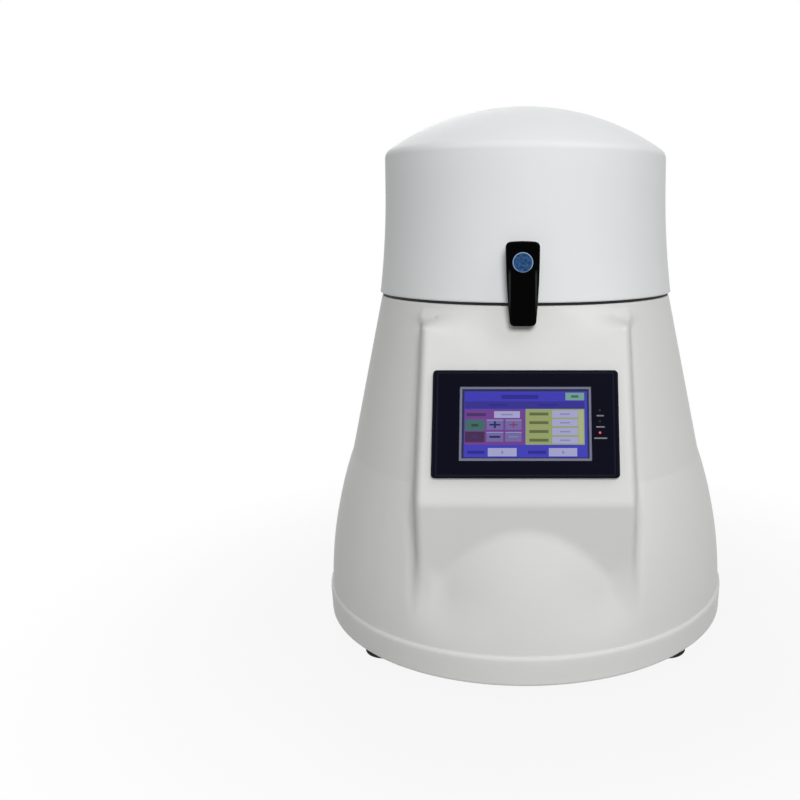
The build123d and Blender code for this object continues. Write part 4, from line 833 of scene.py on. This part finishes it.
# Screws of the fan guard and the hinge
screw = {
    "radius": 2.6, "height": 1.9, "slotHalf": 0.42, "slotReach": 1.7, "slotDepth": 0.9, "sunk": 0.3,
    "rings": 16, "turns": 64,
    "guardHalf": 25.0, "leafFace": 149.0,
    "leaves": [("base", 27.0, 289.0), ("lid", 7.5, 321.0)],  # body, distance to each side and height
}


def makeScrew(number, body, x, face, z):
    # pan head: height * sqrt(1 - (r / radius)^2), with a cross pressed into it; its last ring is in the wall
    p = screw
    r = np.linspace(0, p["radius"], p["rings"])[1:, None]
    turn = np.linspace(0, 2 * math.pi, p["turns"], endpoint=False)
    u, v = r * np.cos(turn), r * np.sin(turn)
    inCross = ((np.abs(u) < p["slotHalf"]) | (np.abs(v) < p["slotHalf"])) & (r < p["slotReach"])
    rise = p["height"] * np.sqrt(1 - (r / p["radius"]) ** 2) - p["slotDepth"] * inCross
    rise[-1] = -p["sunk"]
    rings = np.stack([x + u, face + rise, z + v], axis=-1).reshape(-1, 3)
    points = np.concatenate([rings, [(x, face + p["height"] - p["slotDepth"], z), (x, face - p["sunk"], z)]])
    faces = gridFaces(len(r), p["turns"]).tolist()
    faces += tipFaces(0, p["turns"], len(rings), turned=True)
    faces += tipFaces(len(rings) - p["turns"], p["turns"], len(rings) + 1)
    piece = makePiece(f"guardScrew{number}", points, faces, [metal["groundSteel"]])
    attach(piece, body)


fanX, _, fanZ = nodeCentre("fan_frame") / mm
screwPlaces = [("base", fanX + i * screw["guardHalf"], rearPad["depth"], fanZ + k * screw["guardHalf"])
               for k in (-1, 1) for i in (-1, 1)]
screwPlaces += [(body, i * x, screw["leafFace"], z) for body, x, z in screw["leaves"] for i in (-1, 1)]
for number, place in enumerate(screwPlaces):
    makeScrew(number, *place)
print("screws:", len(screwPlaces))


# Stage, lamps and camera
stage = {
    "floor": "#9A9A99", "floorHalf": 60000.0, "glowNear": 0.9, "glowFrom": 200.0, "glowTo": 520.0,
    "world": "#FFFFFF", "worldStrength": 0.14,
}
lamps = {
    # a lamp that isn't mirrored only adds soft light, without a highlight
    "rightLamp": {"place": (1190, -1000, 1800), "aim": 250, "width": 900, "power": 5.8, "mirrored": True},
    "leftLamp": {"place": (-1190, -1000, 1800), "aim": 250, "width": 900, "power": 1.8, "mirrored": True},
    "frontLamp": {"place": (350, -2300, 1300), "aim": 250, "width": 900, "power": 41.0, "mirrored": False},
    "rearLamp": {"place": (-500, 1900, 1300), "aim": 250, "width": 900, "power": 5.0, "mirrored": False,
                 "spread": 60},
    "topLamp": {"place": (200, -200, 2200), "aim": 300, "width": 1200, "power": 4.4, "mirrored": False},
}
# the photo's camera; focal length, image centre and frame are in pixels
photoView = {
    "pitch": 5.0, "distance": 819.7, "height": 368.9, "sensor": 36.0,
    "focal": 860.3, "centre": (525.5, 297.2), "frame": 800,
}


def seenDirectly(tree):
    # one where the camera, a reflection or a clear piece looks at the surface
    path = addNode(tree, "ShaderNodeLightPath")
    rays = path.outputs["Is Camera Ray"]
    for kind in ("Is Glossy Ray", "Is Transmission Ray"):
        rays = addNode(tree, "ShaderNodeMath", {"operation": "MAXIMUM"}, {
            0: rays, 1: path.outputs[kind]}).outputs[0]
    return rays


def makeFloor():
    # Matt paper sweep: seen straight or in gloss it glows, fully so beyond the machine's soft shadow.
    p = stage
    material, tree, shader, place = newMaterial("paperSweep", {
        "Base Color": linearColour(p["floor"]), "Roughness": 0.9})
    glow = addNode(tree, "ShaderNodeEmission", inputs={"Strength": 1.0})
    away = addNode(tree, "ShaderNodeVectorMath", {"operation": "LENGTH"}, {0: place}).outputs["Value"]
    rise = addNode(tree, "ShaderNodeMapRange", {"interpolation_type": "SMOOTHSTEP"}, {
        "Value": away, "From Min": p["glowFrom"] * mm, "From Max": p["glowTo"] * mm,
        "To Min": p["glowNear"], "To Max": 1.0})
    share = addNode(tree, "ShaderNodeMath", {"operation": "MULTIPLY"}, {
        0: seenDirectly(tree), 1: rise.outputs[0]})
    both = addNode(tree, "ShaderNodeMixShader", inputs={
        0: share.outputs[0], 1: shader.outputs[0], 2: glow.outputs[0]})
    feed(tree, tree.nodes["Material Output"], {"Surface": both.outputs[0]})
    half = p["floorHalf"]
    corners = [(-half, -half, 0), (half, -half, 0), (half, half, 0), (-half, half, 0)]
    floor = makePiece("floor", corners, [[0, 1, 2, 3]], [material], smooth=False)


def makeWorld():
    # white where it is seen directly, and dimmer as a light
    world = bpy.data.worlds.new("studio")
    world.use_nodes = True
    tree = world.node_tree
    tree.nodes.clear()
    colour = linearColour(stage["world"])
    light = addNode(tree, "ShaderNodeBackground", inputs={
        "Color": colour, "Strength": stage["worldStrength"]})
    shown = addNode(tree, "ShaderNodeBackground", inputs={"Color": colour, "Strength": 1.0})
    mix = addNode(tree, "ShaderNodeMixShader", inputs={
        0: seenDirectly(tree), 1: light.outputs[0], 2: shown.outputs[0]})
    addNode(tree, "ShaderNodeOutputWorld", inputs={"Surface": mix.outputs[0]})
    bpy.context.scene.world = world


def makeLamp(name, place, aim, width, power, mirrored, spread=180):
    data = bpy.data.lights.new(name, "AREA")
    data.shape = "DISK"
    data.size = width * mm
    data.energy = power
    data.spread = math.radians(spread)
    light = bpy.data.objects.new(name, data)
    light.location = Vector(place) * mm
    light.visible_glossy = mirrored
    light.rotation_euler = (Vector((0, 0, aim)) - Vector(place)).to_track_quat("-Z", "Y").to_euler()
    bpy.context.scene.collection.objects.link(light)


def makeCamera():
    p = photoView
    data = bpy.data.cameras.new("photoCamera")
    data.sensor_width = p["sensor"]
    data.lens = p["focal"] / p["frame"] * p["sensor"]
    data.shift_x = (p["frame"] / 2 - p["centre"][0]) / p["frame"]
    data.shift_y = (p["centre"][1] - p["frame"] / 2) / p["frame"]
    camera = bpy.data.objects.new("photoCamera", data)
    camera.location = (0, -p["distance"] * mm, p["height"] * mm)
    camera.rotation_euler = (math.radians(90 - p["pitch"]), 0, 0)
    bpy.context.scene.collection.objects.link(camera)
    bpy.context.scene.camera = camera


makeFloor()
makeWorld()
for name, settings in lamps.items():
    makeLamp(name, **settings)
makeCamera()
bpy.context.scene.view_settings.view_transform = "Standard"

print("scene ready")
